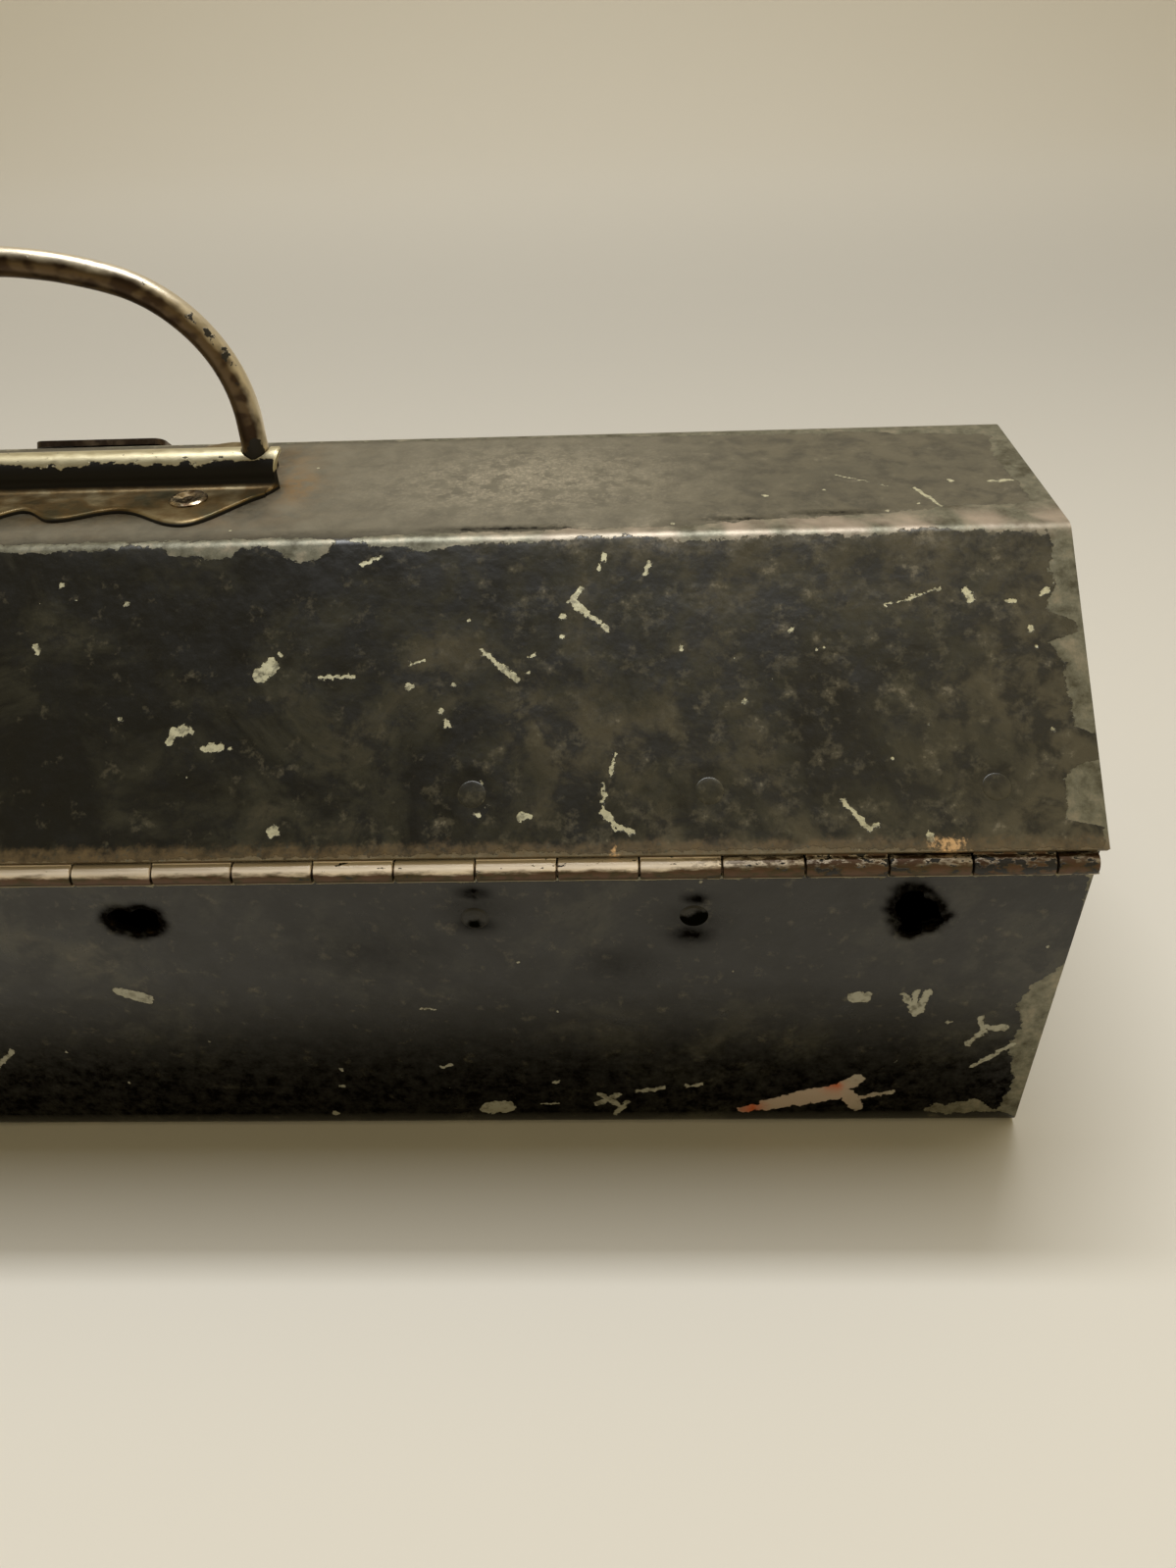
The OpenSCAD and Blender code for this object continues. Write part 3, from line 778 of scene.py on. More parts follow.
@dataclass(frozen=True)
class Scars:
    """Places where the paint is knocked off.

    A round-ended stroke is (x, v, x, v, radius) and a dot is (x, v, radius), in millimetres,
    with v the way up the slope or the wall, or y on the top.
    """

    slope: tuple[Scar, ...] = (
        (-12.9, 46.7, 0.50), (-24.3, 43.3, 0.49),
        (-9.7, 36.2, -10.2, 34.7, 0.41), (-47.4, 30.4, -48.9, 31.9, 1.36),
        (-50.1, 33.9, 0.48), (-33.3, 19.3, -34.1, 20.9, 0.64),
        (-34.1, 20.9, -36.1, 21.2, 0.95), (-38.8, 18.2, 0.40),
        (-39.7, 18.2, -41.6, 18.3, 0.71), (-43.3, 18.1, 0.32),
        (-25.0, 23.2, 0.48), (-51.0, 4.5, 1.00),
        (-56.9, 29.7, -62.5, 29.9, 0.32), (-71.8, 31.8, -73.5, 32.1, 0.32),
        (-71.6, 27.9, 0.71), (-78.7, 28.1, 0.39),
        (-77.7, 21.6, 0.70), (-76.9, 23.9, 0.47),
        (-83.3, 33.9, -86.2, 31.0, 0.48), (-86.2, 31.0, -89.1, 28.9, 0.55),
        (-90.6, 30.1, 0.39), (-90.8, 32.6, -91.7, 33.0, 0.24),
        (-99.3, 44.3, -97.6, 41.9, 0.48), (-97.6, 41.9, -100.4, 39.8, 0.64),
        (-100.4, 39.8, -103.4, 37.2, 0.48), (-96.3, 39.5, 0.56),
        (-96.1, 36.1, 0.40), (-81.0, 39.2, 0.32),
        (-89.7, 6.1, -90.9, 6.4, 0.61), (-83.0, 6.5, 0.46),
        (-83.4, 11.7, 0.39), (-62.9, 49.3, -66.6, 50.8, 0.33),
        (-103.2, 50.2, -102.2, 47.8, 0.40), (-132.8, 36.2, 0.62),
        (-148.0, 40.1, -152.5, 41.7, 0.23), (-152.5, 41.7, -157.1, 43.1, 0.31),
        (-161.3, 42.5, -161.8, 41.1, 0.70), (-167.3, 40.5, -168.6, 40.8, 0.31),
        (-170.7, 35.8, 0.61), (-139.5, 8.2, -141.2, 6.0, 0.45),
        (-141.2, 6.0, -143.1, 3.7, 0.45), (-143.4, 4.0, -144.3, 4.3, 0.30),
        (-152.2, 2.3, 0.74), (-137.0, 33.0, -137.9, 33.4, 0.31),
        (-125.1, 24.5, 0.46), (-115.3, 33.7, 0.39),
        (-172.5, 19.0, 0.45), (-104.4, 16.5, -103.8, 12.8, 0.31),
        (-102.7, 11.2, -102.5, 6.9, 0.38), (-102.5, 6.9, -104.5, 4.7, 0.53),
        (-104.5, 4.7, -106.7, 3.6, 0.53), (-173.0, 41.7, -174.1, 42.6, 0.39),
        (-110.6, 48.7, -109.6, 46.6, 0.40),
    )
    top: tuple[Scar, ...] = (
        (-140.1, -2.5, -152.8, 5.8, 0.17), (-157.0, 6.9, -158.5, 10.3, 0.50),
        (-158.5, 10.3, -159.9, 14.4, 0.41), (-150.7, 15.8, 0.32),
        (-164.1, 3.9, 0.67), (-170.7, 4.7, -174.2, 4.5, 0.50),
        (-131.0, 8.7, 0.42), (-157.2, -11.7, 0.54),
        (-49.0, -13.9, -52.6, -16.7, 0.77),
    )
    wall: tuple[Scar, ...] = (
        (-18.1, 38.5, -22.3, 36.4, 1.12), (-3.2, 22.3, 0.36),
        (-79.5, 5.2, -82.5, 5.7, 1.76), (-53.1, 16.8, 0.45),
        (-52.4, 11.9, 0.55), (-49.8, 3.9, 0.56),
        (-71.6, 17.2, -73.5, 18.0, 0.45), (-69.9, 33.3, -72.7, 33.3, 0.26),
        (-92.2, 12.7, 0.54), (-89.6, 6.3, -92.4, 6.6, 0.28),
        (-144.4, 35.4, -146.2, 35.4, 1.25), (-152.9, 36.0, -155.4, 30.9, 0.62),
        (-155.0, 36.9, -154.8, 32.5, 0.6), (-156.9, 36.7, -155.8, 31.5, 0.7),
        (-166.8, 29.8, -168.2, 25.9, 0.6), (-165.6, 22.9, -168.3, 27.3, 0.55),
        (-168.3, 27.3, -171.5, 27.2, 0.75), (-161.3, 28.9, 0.59),
        (-153.6, 18.0, 0.35),
        (-126.9, 4.3, -131.5, 5.4, 0.8), (-131.5, 5.6, -137.0, 7.4, 1.6),
        (-137.0, 7.4, -143.8, 9.4, 2.1), (-143.5, 10.0, -147.6, 13.0, 1.35),
        (-146.0, 8.9, -148.2, 5.4, 1.4),
        (-100.4, 9.1, -104.0, 5.6, 0.55), (-105.5, 6.7, -103.2, 3.2, 0.46),
        (-107.3, 9.9, -112.1, 10.8, 0.5), (-116.4, 11.3, -123.2, 12.4, 0.4),
        (-167.5, 16.5, -173.5, 22.5, 0.5), (-100.0, 6.4, -103.5, 8.8, 0.7),
        (-148.8, 7.9, -154.5, 9.4, 0.5),
    )


    def strokes(self) -> tuple[list[Stroke], list[Stroke]]:
        """All scars as (point, point, radius): the lid's and the base's."""
        lid = [*self.on(SHAPE.on_slope, self.slope), *self.on(SHAPE.on_top, self.top)]
        return lid, self.on(SHAPE.on_wall, self.wall)

    @staticmethod
    def on(face: Callable[[float, float], Point], scars: tuple[Scar, ...]) -> list[Stroke]:
        """Scars of one face as (point, point, radius)."""
        return [(Vector(face(*s[:2])), Vector(face(*s[-3:-1])), s[-1]) for s in scars]


@dataclass(frozen=True)
class Mottle:
    """Noises that the painted sheet's finish is made of: edge and frayed swing about zero."""

    broad: Socket
    patch: Socket
    grain: Socket
    spots: Socket
    net: Socket
    edge: Socket
    frayed: Socket

    @classmethod
    def over(cls, g: Graph, place: Socket) -> "Mottle":
        """Adds the noises to a material's graph, over places in millimetres.

        Args:
            g: the material's graph.
            place: the point in millimetres.

        Returns:
            The noises.
        """
        aside = g.vector("ADD", place, (40.0, 9.0, 70.0))
        return cls(
            broad=g.noise(place, 30.0, 6.0, 0.66, 0.8),
            patch=g.noise(place, 6.0, 6.0, 0.66, 0.3),
            grain=g.noise(place, 0.9, 3.0, 0.6),
            spots=g.noise(aside, 3.2, 5.0, 0.68),
            net=g.noise(place, 1.5, 4.0, 0.7),
            edge=g.minus(g.noise(place, 2.1, 5.0, 0.7), 0.5),
            frayed=g.minus(g.noise(place, 0.8, 4.0, 0.7), 0.5),
        )


@dataclass(frozen=True)
class PaintedSheet:
    """Old black japan on sheet steel: mottled, dusty, and chipped to the grey metal.

    Values kept on the mesh steer it, and one that a mesh doesn't have counts as 0: "wear" is
    the depth inside a chipped place in millimetres, and "dust", "worn", "tarnish",
    "soot_and_shade" (sooty stains, and painted shade), "rust", "orange", "primer", "red",
    "speck", "fade" (browner paint) and "dull" (less gloss) are shares.
    """

    name: str
    strokes: tuple[Stroke, ...] = ()
    scratch: Colour = tone(222, 218, 190)
    ragged: float = 1.5
    deep: Colour = tone(9, 9, 7)
    olive: Colour = tone(44, 43, 34)
    brown: Colour = tone(70, 65, 51)
    smudge: Colour = tone(84, 79, 64)
    # Colour of sooty stains, also laid on as painted shade.
    soot_and_shade: Colour = tone(9, 7, 5)
    dust: Colour = tone(112, 106, 90)
    pale: Colour = tone(150, 141, 122)
    bare: Colour = tone(118, 116, 100)
    stain: Colour = tone(76, 72, 57)
    rust: Colour = tone(98, 80, 50)
    tarnish: Colour = tone(118, 92, 56)
    orange: Colour = tone(216, 174, 122)
    primer: Colour = tone(190, 172, 156)
    red: Colour = tone(206, 102, 58)
    rough: tuple[float, float, float] = (0.5, 0.42, 0.7)
    shake: float = 1.6
    repeat: ClassVar[float] = 180.0

    def material(self) -> bpy.types.Material:
        """Builds the finish.

        Returns:
            The material.
        """
        g = Graph(self.name)
        place = g.place()
        n = Mottle.over(g, place)
        stroke = g.plus(self.stroke_depth(g, place), g.times(n.frayed, 1.1))
        fresh = g.step(g.most(stroke, self.speck_depth(g, place)), *FRESH)
        worn = g.plus(g.attribute("wear"), g.times(n.edge, 2.0 * self.ragged))
        bare = g.most(g.step(worn, *CHIP), fresh)
        dusty = g.times(g.attribute("dust"), g.step(n.patch, 0.2, 0.75, (1.2, 0.7)), True)
        rusty = g.plus(g.attribute("rust"), g.times(n.edge, 0.9))
        rusty = g.step(rusty, 0.25, 0.75, (0.0, 0.85))
        spot = g.plus(g.attribute("orange"), g.times(n.frayed, 1.3))
        colour = g.blend(bare, self.painted(g, n, dusty), self.metal(g, place, n, fresh))
        rust = g.blend(g.step(n.grain, 0.55, 0.75), self.rust, self.stain)
        colour = g.blend(rusty, colour, rust)
        colour = g.blend(g.step(spot, 0.45, 0.75, (0.0, 0.8)), colour, self.orange)
        rough = g.step(n.patch, 0.25, 0.8, (0.24, 0.42))
        for share, value in zip((dusty, bare, rusty), self.rough):
            rough = g.between(share, rough, value)
        dull = g.times(g.attribute("dull"), g.plus(n.edge, 1.0), True)
        relief = g.paint_relief(place, n.grain, bare, 0.3)
        shine = g.times(g.rest(rusty), g.times(bare, 0.5))
        return g.surface(colour, shine, rough, relief, 1.5, g.times(g.rest(dull), 0.5))

    def painted(self, g: Graph, n: Mottle, dusty: Socket) -> Socket:
        """Colour of the paint: mottled, smudged, dusty, worn pale in a net, tarnished, sooty, and
        darkened as painted shade where the mesh asks.

        Args:
            g: the material's graph.
            n: its noises.
            dusty: the share of dust.

        Returns:
            The colour.
        """
        fade = g.attribute("fade")
        stops = [(0.4, self.deep), (0.52, self.olive), (0.66, self.brown)]
        lift = g.plus(n.spots, g.times(fade, 0.35))
        crazed = g.rest(g.times(g.math("ABSOLUTE", g.minus(n.net, 0.5)), 9.0), True)
        blotch = g.times(g.attribute("worn"), g.step(n.spots, 0.4, 0.52))
        uneven = g.plus(g.times(n.edge, 3.5), 1.0)
        paint = g.ramp(g.plus(n.broad, fade), stops)
        for share, colour in (
            (g.step(n.patch, 0.43, 0.62, (0.0, 0.9)), self.deep),
            (g.step(lift, 0.54, 0.66, (0.0, 0.5)), self.smudge),
            (g.step(lift, 0.66, 0.72, (0.0, 0.3)), self.pale),
            (dusty, self.dust),
            (g.times(blotch, g.rest(g.times(crazed, 0.8))), self.pale),
            (g.times(g.attribute("tarnish"), g.step(n.spots, 0.3, 0.62)), self.tarnish),
            # Sooty stains, and painted shade where the mesh asks for it.
            (g.times(g.attribute("soot_and_shade"), uneven, True), self.soot_and_shade),
        ):
            paint = g.blend(share, paint, colour)
        return paint

    def metal(self, g: Graph, place: Socket, n: Mottle, fresh: Socket) -> Socket:
        """Colour where the paint is gone: stained metal, bright scars, primer and red paint.

        Args:
            g: the material's graph.
            place: the point in millimetres.
            n: the finish's noises.
            fresh: the share of scars and specks.

        Returns:
            The colour.
        """
        tint = g.noise(place, 4.0, 6.0, 0.7)
        metal = g.ramp(tint, [(0.34, self.stain), (0.52, self.bare), (0.7, self.pale)])
        metal = g.blend(g.times(fresh, g.step(n.net, 0.3, 0.56)), metal, self.scratch)
        metal = g.blend(g.attribute("primer"), metal, self.primer)
        return g.blend(g.attribute("red"), metal, self.red)

    def stroke_depth(self, g: Graph, place: Socket) -> Socket:
        """How far a point lies inside the nearest scar, in millimetres.

        The box's four quarters carry the same scars, slid along or turned end for end. For a
        stroke from a to b of radius r the value is r - |p - a - t (b - a)|, with t the clipped
        share (p - a).(b - a) / |b - a|^2.

        Args:
            g: the material's graph.
            place: the point in millimetres.

        Returns:
            The greatest value over all scars.
        """
        wobble = g.vector("SUBTRACT", self.wobble(g, place), (0.5, 0.5, 0.5))
        x, y, z = g.split(place)
        side = g.times(x, g.math("SIGN", y))
        wrap = g.times(g.math("GREATER_THAN", side, 0.0), self.repeat)
        folded = g.add("CombineXYZ", {0: g.minus(side, wrap), 1: g.math("ABSOLUTE", y), 2: z})
        point = g.vector("MULTIPLY_ADD", wobble, 3 * (self.shake,), folded.outputs[0])
        best: Value = -9.0
        for a, b, radius in self.strokes:
            run = b - a
            end: Value = tuple(a)
            if run.length >= 0.05:
                rel = g.vector("SUBTRACT", point, end)
                share = g.vector("DOT_PRODUCT", rel, tuple(run / run.length_squared))
                back = g.vector("SCALE", tuple(run), g.plus(share, 0.0, True))
                gap = g.vector("DISTANCE", rel, back)
            else:
                gap = g.vector("DISTANCE", point, end)
            best = g.most(best, g.minus(radius, gap))
        return best

    def wobble(self, g: Graph, place: Socket) -> Socket:
        """A small random shift for each point, so that scars get ragged outlines."""
        noise = g.add("TexNoise", {"Vector": place, "Scale": 0.85, "Detail": 3.0})
        return noise.outputs["Color"]

    def speck_depth(self, g: Graph, place: Socket) -> Socket:
        """How far a point lies inside a small speck; more show where "speck" is high."""
        bent = g.vector("MULTIPLY_ADD", self.wobble(g, place), (0.9, 0.9, 0.9), place)
        return g.specks(bent, 3.0, 0.945, 7.0, g.times(g.attribute("speck"), 0.5), 0.5)


class ZonedPaint:
    """The painted sheet's finish in several copies, each with the scars of its own zone."""

    def __init__(
        self, name: str, strokes: list[Stroke], limits: tuple[float, ...], scratch: Colour
    ) -> None:
        """Makes one finish for each zone.

        Args:
            name: first part of the finishes' names.
            strokes: scars as (point, point, radius) in millimetres.
            limits: where the zones meet, falling from 0 towards the left end.
            scratch: the colour of fresh scars.
        """
        self.limits = limits
        ends = (0.0, *limits, -181.0)
        self.finishes = []
        for i, (high, low) in enumerate(zip(ends, ends[1:])):
            own = tuple(stroke for stroke in strokes if low <= stroke[0][0] < high)
            LOG.info("%s zone %d holds %d scars", name, i, len(own))
            self.finishes.append(PaintedSheet(f"{name}_{i}", own, scratch=scratch).material())

    def share_out(self, piece: bpy.types.Object) -> None:
        """Gives each face the finish of its zone, with the box's quarters folded together.

        Args:
            piece: a shell that already has the first finish.
        """
        for finish in self.finishes[1:]:
            piece.data.materials.append(finish)
        centre = np.empty(3 * len(piece.data.polygons))
        piece.data.polygons.foreach_get("center", centre)
        x, y, _ = centre.reshape(-1, 3).T / MM
        side = x * np.sign(y)
        side = side - PaintedSheet.repeat * (side > 0)
        zone = sum((side < limit).astype(int) for limit in self.limits)
        piece.data.polygons.foreach_set("material_index", zone)


@dataclass(frozen=True)
class EndPaint:
    """Black paint on a flat end panel, worn to the metal along its outline."""

    name: str
    low: float
    high: float
    half: float
    lean: float = 0.0
    deep: Colour = tone(24, 23, 18)
    olive: Colour = tone(46, 45, 37)
    brown: Colour = tone(62, 54, 42)
    bare: Colour = tone(152, 149, 132)
    stain: Colour = tone(108, 100, 80)

    def material(self) -> bpy.types.Material:
        """Builds the finish.

        The wear follows the least distance to the panel's outline: its bottom, its top, and its
        two sides, which lean in by lean millimetres for each millimetre of height.

        Returns:
            The material.
        """
        g = Graph(self.name)
        place = g.place()
        _, y, z = g.split(place)
        rise = g.minus(z, self.low)
        side = g.minus(g.minus(self.half, g.math("ABSOLUTE", y)), g.times(rise, self.lean))
        side = g.times(side, 1.0 / float(np.hypot(1.0, self.lean)))
        gap = g.least(side, g.least(rise, g.minus(self.high, z)))
        broad = g.noise(place, 24.0, 5.0, 0.62, 0.6)
        patch = g.noise(place, 5.0, 5.0, 0.6)
        grain = g.noise(place, 0.9, 3.0, 0.6)
        reach = g.step(g.noise(place, 17.0, 2.0), 0.42, 0.62, (-1.2, 2.2))
        ragged = g.swing(g.noise(place, 2.1, 5.0, 0.68), 3.4)
        wear = g.plus(g.minus(reach, gap), ragged)
        bare = g.step(g.most(wear, g.specks(place, 4.0, 0.93, 9.0)), *CHIP)
        paint = g.ramp(broad, [(0.32, self.deep), (0.5, self.olive), (0.68, self.brown)])
        paint = g.blend(g.step(patch, 0.42, 0.66), paint, self.deep)
        metal = g.ramp(patch, [(0.35, self.stain), (0.6, self.bare)])
        rough = g.between(bare, g.step(patch, 0.25, 0.8, (0.32, 0.5)), 0.42)
        relief = g.paint_relief(place, grain, bare, 0.35)
        return g.surface(g.blend(bare, paint, metal), g.times(bare, 0.55), rough, relief, 1.55)


@dataclass(frozen=True)
class HingeSteel:
    """Worn knuckles: rubbed bright on top, which is also a painted highlight, and brown below.

    A light line under them is a painted highlight for the lit floor's reflection; they carry
    left-over paint, and the leaf below them is painted dark as shade.
    """

    name: str = "hinge_steel"
    pitch: float = 12.7
    worn_out: tuple[float, float] = (-135.0, -105.0)
    # The knuckles' rubbed tops: worn metal, and a painted highlight.
    bright: Colour = tone(252, 238, 220)
    brown: Colour = tone(92, 72, 58)
    olive: Colour = tone(74, 66, 48)
    # Painted highlight: the light line under the knuckles, for the lit floor's reflection.
    line: Colour = tone(190, 178, 146)
    # Left-over paint, and the leaf below the knuckles as painted shade.
    dark: Colour = tone(16, 12, 9)

    def material(self) -> bpy.types.Material:
        """Builds the finish. Each knuckle has its own random share of left-over paint and shine.

        Returns:
            The material.
        """
        g = Graph(self.name)
        place = g.place()
        x, _, z = g.split(place)
        own = g.math("FLOOR", g.plus(g.math("DIVIDE", x, self.pitch), 0.5))
        chance = g.add("TexWhiteNoise", noise_dimensions="1D")
        g.feed(chance.inputs["W"], own)
        chance = chance.outputs["Value"]
        streak = g.noise(g.vector("MULTIPLY", place, (0.3, 1.3, 1.3)), 1.5, 5.0, 0.65)
        patch = g.noise(g.vector("MULTIPLY", place, (0.7, 1.5, 1.5)), 1.7, 4.0, 0.62)
        rise = g.minus(z, SHAPE.hinge_z)
        rubbed = self.rubbed(g, x, rise, streak, patch, chance)
        colour = g.blend(g.step(patch, 0.4, 0.62), self.brown, self.olive)
        # The rubbed upper part is worn metal and also a painted highlight.
        colour = g.blend(rubbed, colour, self.bright)
        # Painted highlight: a light line at the knuckles' foot. Painted shade: the leaf below them
        # is dark.
        fall = g.times(rise, -1.0)
        edge = g.times(g.step(fall, 0.8, 1.15), g.step(fall, 1.98, 1.9))
        colour = g.blend(edge, colour, self.line)
        colour = g.blend(g.step(fall, 1.98, 2.1), colour, self.dark)
        left = g.step(x, -95.0, -145.0, (0.0, 0.1))
        scrap = g.step(g.plus(g.plus(patch, left), g.times(chance, 0.1)), 0.71, 0.74)
        colour = g.blend(scrap, colour, self.dark)
        metal = g.times(g.rest(scrap), g.between(g.most(rubbed, edge), 0.85, 0.28))
        rough = g.between(scrap, g.step(streak, 0.3, 0.7, (0.5, 0.38)), 0.5)
        relief = g.bump(g.noise(place, 0.5, 3.0, 0.6), 0.02, g.bump(streak, 0.05))
        return g.surface(colour, metal, rough, g.bump(scrap, 0.06, relief))

    def rubbed(
        self, g: Graph, x: Socket, rise: Socket, streak: Socket, patch: Socket, chance: Socket
    ) -> Socket:
        """How bright a point is rubbed: the knuckles' upper part, less at the left end. It is worn
        metal and also a painted highlight.

        Args:
            g: the material's graph.
            x: the place along the box.
            rise: the height over the hinge's axis.
            streak: noise drawn out along the hinge.
            patch: coarser noise.
            chance: the knuckle's own random number.

        Returns:
            The share.
        """
        whole = g.step(x, *self.worn_out)
        height = g.plus(rise, g.swing(streak, 1.8))
        height = g.minus(height, g.step(x, *self.worn_out, (0.45, 0.0)))
        keen = g.plus(g.step(x, -168.0, -112.0, (0.25, 0.8)), g.times(chance, 0.4))
        rubbed = g.times(g.step(height, 0.5, 1.3), keen, True)
        rubbed = g.times(rubbed, g.plus(whole, g.step(patch, 0.44, 0.58), True))
        return g.times(rubbed, g.step(rise, 2.1, 1.95))


@dataclass(frozen=True)
class BrownedSteel:
    """Steel with a brown skin that is rubbed bright in places."""

    name: str
    skin: Colour
    rubbed: Colour
    dark: Colour
    share: float = 0.5
    metal: float = 0.85
    rough: float = 0.38
    grain: float = 2.4
    gloss: float = 0.5
    pits: tuple[Ball, ...] = ()
    pit_colour: Colour = (0.002, 0.002, 0.001)

    def material(self) -> bpy.types.Material:
        """Builds the finish.

        Returns:
            The material.
        """
        g = Graph(self.name)
        place = g.place()
        broad = g.noise(place, 7.0, 5.0, 0.62, 0.4)
        fine = g.noise(place, self.grain, 5.0, 0.65)
        grit = g.noise(place, 0.7, 3.0, 0.6)
        stops = [(self.share - 0.14, self.dark), (self.share, self.skin)]
        colour = g.ramp(broad, [*stops, (self.share + 0.16, self.rubbed)])
        colour = g.blend(g.step(fine, 0.55, 0.75, (0.0, 0.8)), colour, self.dark)
        rough = g.step(fine, 0.3, 0.8, (self.rough - 0.1, self.rough + 0.2))
        relief = g.bump(grit, 0.02, g.bump(fine, 0.06))
        hollow = g.balls(place, self.pits, g.swing(fine, 2.4), (-0.4, 0.5))
        colour = g.blend(hollow, colour, self.pit_colour)
        gloss = g.between(hollow, self.gloss, 0.0)
        return g.surface(colour, self.metal, rough, relief, 1.5, gloss)


@dataclass(frozen=True)
class PlateFinish:
    """The handle plate: bronze flanges, black paint on the ridge's flanks, a bare crest,
    and its cut edge coloured black as painted shade.
    """

    name: str = "handle_plate_finish"
    bronze: Colour = tone(140, 126, 96)
    amber: Colour = tone(112, 92, 60)
    olive: Colour = tone(84, 78, 58)
    cream: Colour = tone(206, 197, 166)
    black: Colour = tone(12, 8, 5)

    def material(self) -> bpy.types.Material:
        """Builds the finish. The attribute "crest" is 1 on the crest, 0 at the ridge's foot.

        Returns:
            The material.
        """
        g = Graph(self.name)
        place = g.place()
        fine = g.noise(g.vector("MULTIPLY", place, (0.7, 1.0, 1.0)), 2.0, 5.0, 0.66)
        broad = g.noise(place, 8.0, 4.0, 0.6)
        lumps = g.noise(g.vector("MULTIPLY", place, (0.5, 1.0, 1.0)), 3.4, 4.0, 0.6)
        ragged = g.times(g.minus(g.plus(fine, lumps), 1.0), 0.5)
        crest = g.attribute("crest")
        top = g.step(g.plus(crest, ragged), 0.75, 0.79)
        islands = g.step(g.noise(place, 1.7, 4.0, 0.6), 0.66, 0.68)
        top = g.times(top, g.rest(islands))
        lip = g.step(g.plus(g.attribute("lip"), ragged), 0.35, 0.5)
        top = g.most(top, lip)
        ridge = g.step(g.plus(crest, g.times(ragged, 0.1)), 0.0, 0.14)
        # Painted shade: the plate's cut edge, just over the lid, is coloured black.
        rise = g.minus(g.split(place)[2], SHAPE.top_z)
        ridge = g.most(ridge, g.step(rise, 0.66, 0.5))
        flange = g.ramp(broad, [(0.35, self.olive), (0.5, self.amber), (0.62, self.bronze)])
        colour = g.blend(ridge, flange, self.black)
        colour = g.blend(top, colour, self.cream)
        # The black paint of the flanks and the edge's painted shade are matt and not metallic.
        painted = g.times(ridge, g.rest(top))
        metal = g.times(g.rest(painted), 0.8)
        rough = g.between(painted, g.step(fine, 0.3, 0.7, (0.3, 0.46)), 0.55)
        relief = g.bump(top, 0.05, g.bump(fine, 0.05))
        return g.surface(colour, metal, rough, relief, 1.5, 0.3)


@dataclass(frozen=True)
class WireFinish:
    """The bail's wire: pale bronze on the loop's outside, as rubbed metal and as painted highlight;
    browner below, on its inside, as oxide and as painted shade; spots of black paint, and black
    at the legs' feet as painted shade.
    """

    name: str = "bail_finish"
    # Pale outside the loop: rubbed metal, and a painted highlight.
    rubbed: Colour = tone(208, 197, 176)
    # Browner inside the loop: oxide, and painted shade.
    brown: Colour = tone(98, 82, 62)
    umber: Colour = tone(62, 48, 36)
    dark: Colour = tone(20, 15, 10)
    # Spots of black paint; the three at the legs' feet, where they go into the plate, are painted
    # shade.
    scraps_and_foot_shade: tuple[Ball, ...] = (
        (Vector((-37.9, 0.2, 129.4)), 1.9), (Vector((-39.6, 0.2, 126.6)), 1.9),
        (Vector((-41.2, 1.2, 109.0)), 2.6), (Vector((-39.6, 2.2, 107.2)), 3.3),
        (Vector((41.6, -1.0, 121.0)), 2.4), (Vector((40.2, -3.0, 107.0)), 3.0),
    )

    def material(self) -> bpy.types.Material:
        """Builds the finish. The attribute "outer" is 1 on the loop's outside, -1 inside it.

        Returns:
            The material.
        """
        g = Graph(self.name)
        place = g.place()
        streak = g.noise(g.vector("MULTIPLY", place, (0.5, 1.2, 0.7)), 2.2, 2.0, 0.5)
        fine = g.noise(place, 0.9, 4.0, 0.65)
        # Pale outside as rubbed metal and painted highlight; darker inside as oxide and painted
        # shade.
        outside = g.step(g.plus(g.attribute("outer"), g.swing(streak, 0.8)), 0.42, 0.95)
        inner_oxide_and_shade = g.blend(g.step(streak, 0.42, 0.6), self.umber, self.brown)
        colour = g.blend(outside, inner_oxide_and_shade, self.rubbed)
        spots = g.step(g.noise(place, 3.4, 5.0, 0.68), 0.64, 0.67)
        wobble = g.swing(g.noise(place, 1.6, 4.0, 0.65), 3.0)
        # Spots of black paint, and painted shade at the legs' feet.
        spots = g.balls(place, self.scraps_and_foot_shade, wobble, (0.0, 0.15), spots)
        colour = g.blend(spots, colour, self.dark)
        metal = g.times(g.rest(spots), g.between(outside, 0.85, 0.6))
        rough = g.between(spots, g.step(fine, 0.3, 0.8, (0.3, 0.42)), 0.45)
        return g.surface(colour, metal, rough, g.bump(fine, 0.03, g.bump(spots, 0.05)))


def dress(piece: bpy.types.Object, material: bpy.types.Material) -> None:
    """Puts one material on a piece.

    Args:
        piece: the piece.
        material: its finish.
    """
    piece.data.materials.clear()
    piece.data.materials.append(material)


def add_piece(
    piece: bpy.types.Object, body: Body, slot: Slot, finish: bpy.types.Material, *stands_for: str
) -> bpy.types.Object:
    """Dresses a new piece and ties it to its body.

    Args:
        piece: the new piece.
        body: the body it moves with.
        slot: a material slot name; not used.
        finish: its material.
        stands_for: the CAD nodes that it is shown in place of.

    Returns:
        The piece.
    """
    dress(piece, finish)
    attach(piece, body.value)
    if stands_for:
        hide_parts(*stands_for)
    LOG.info("%s rides on %s, %d faces", piece.name, body.value, len(piece.data.polygons))
    return piece


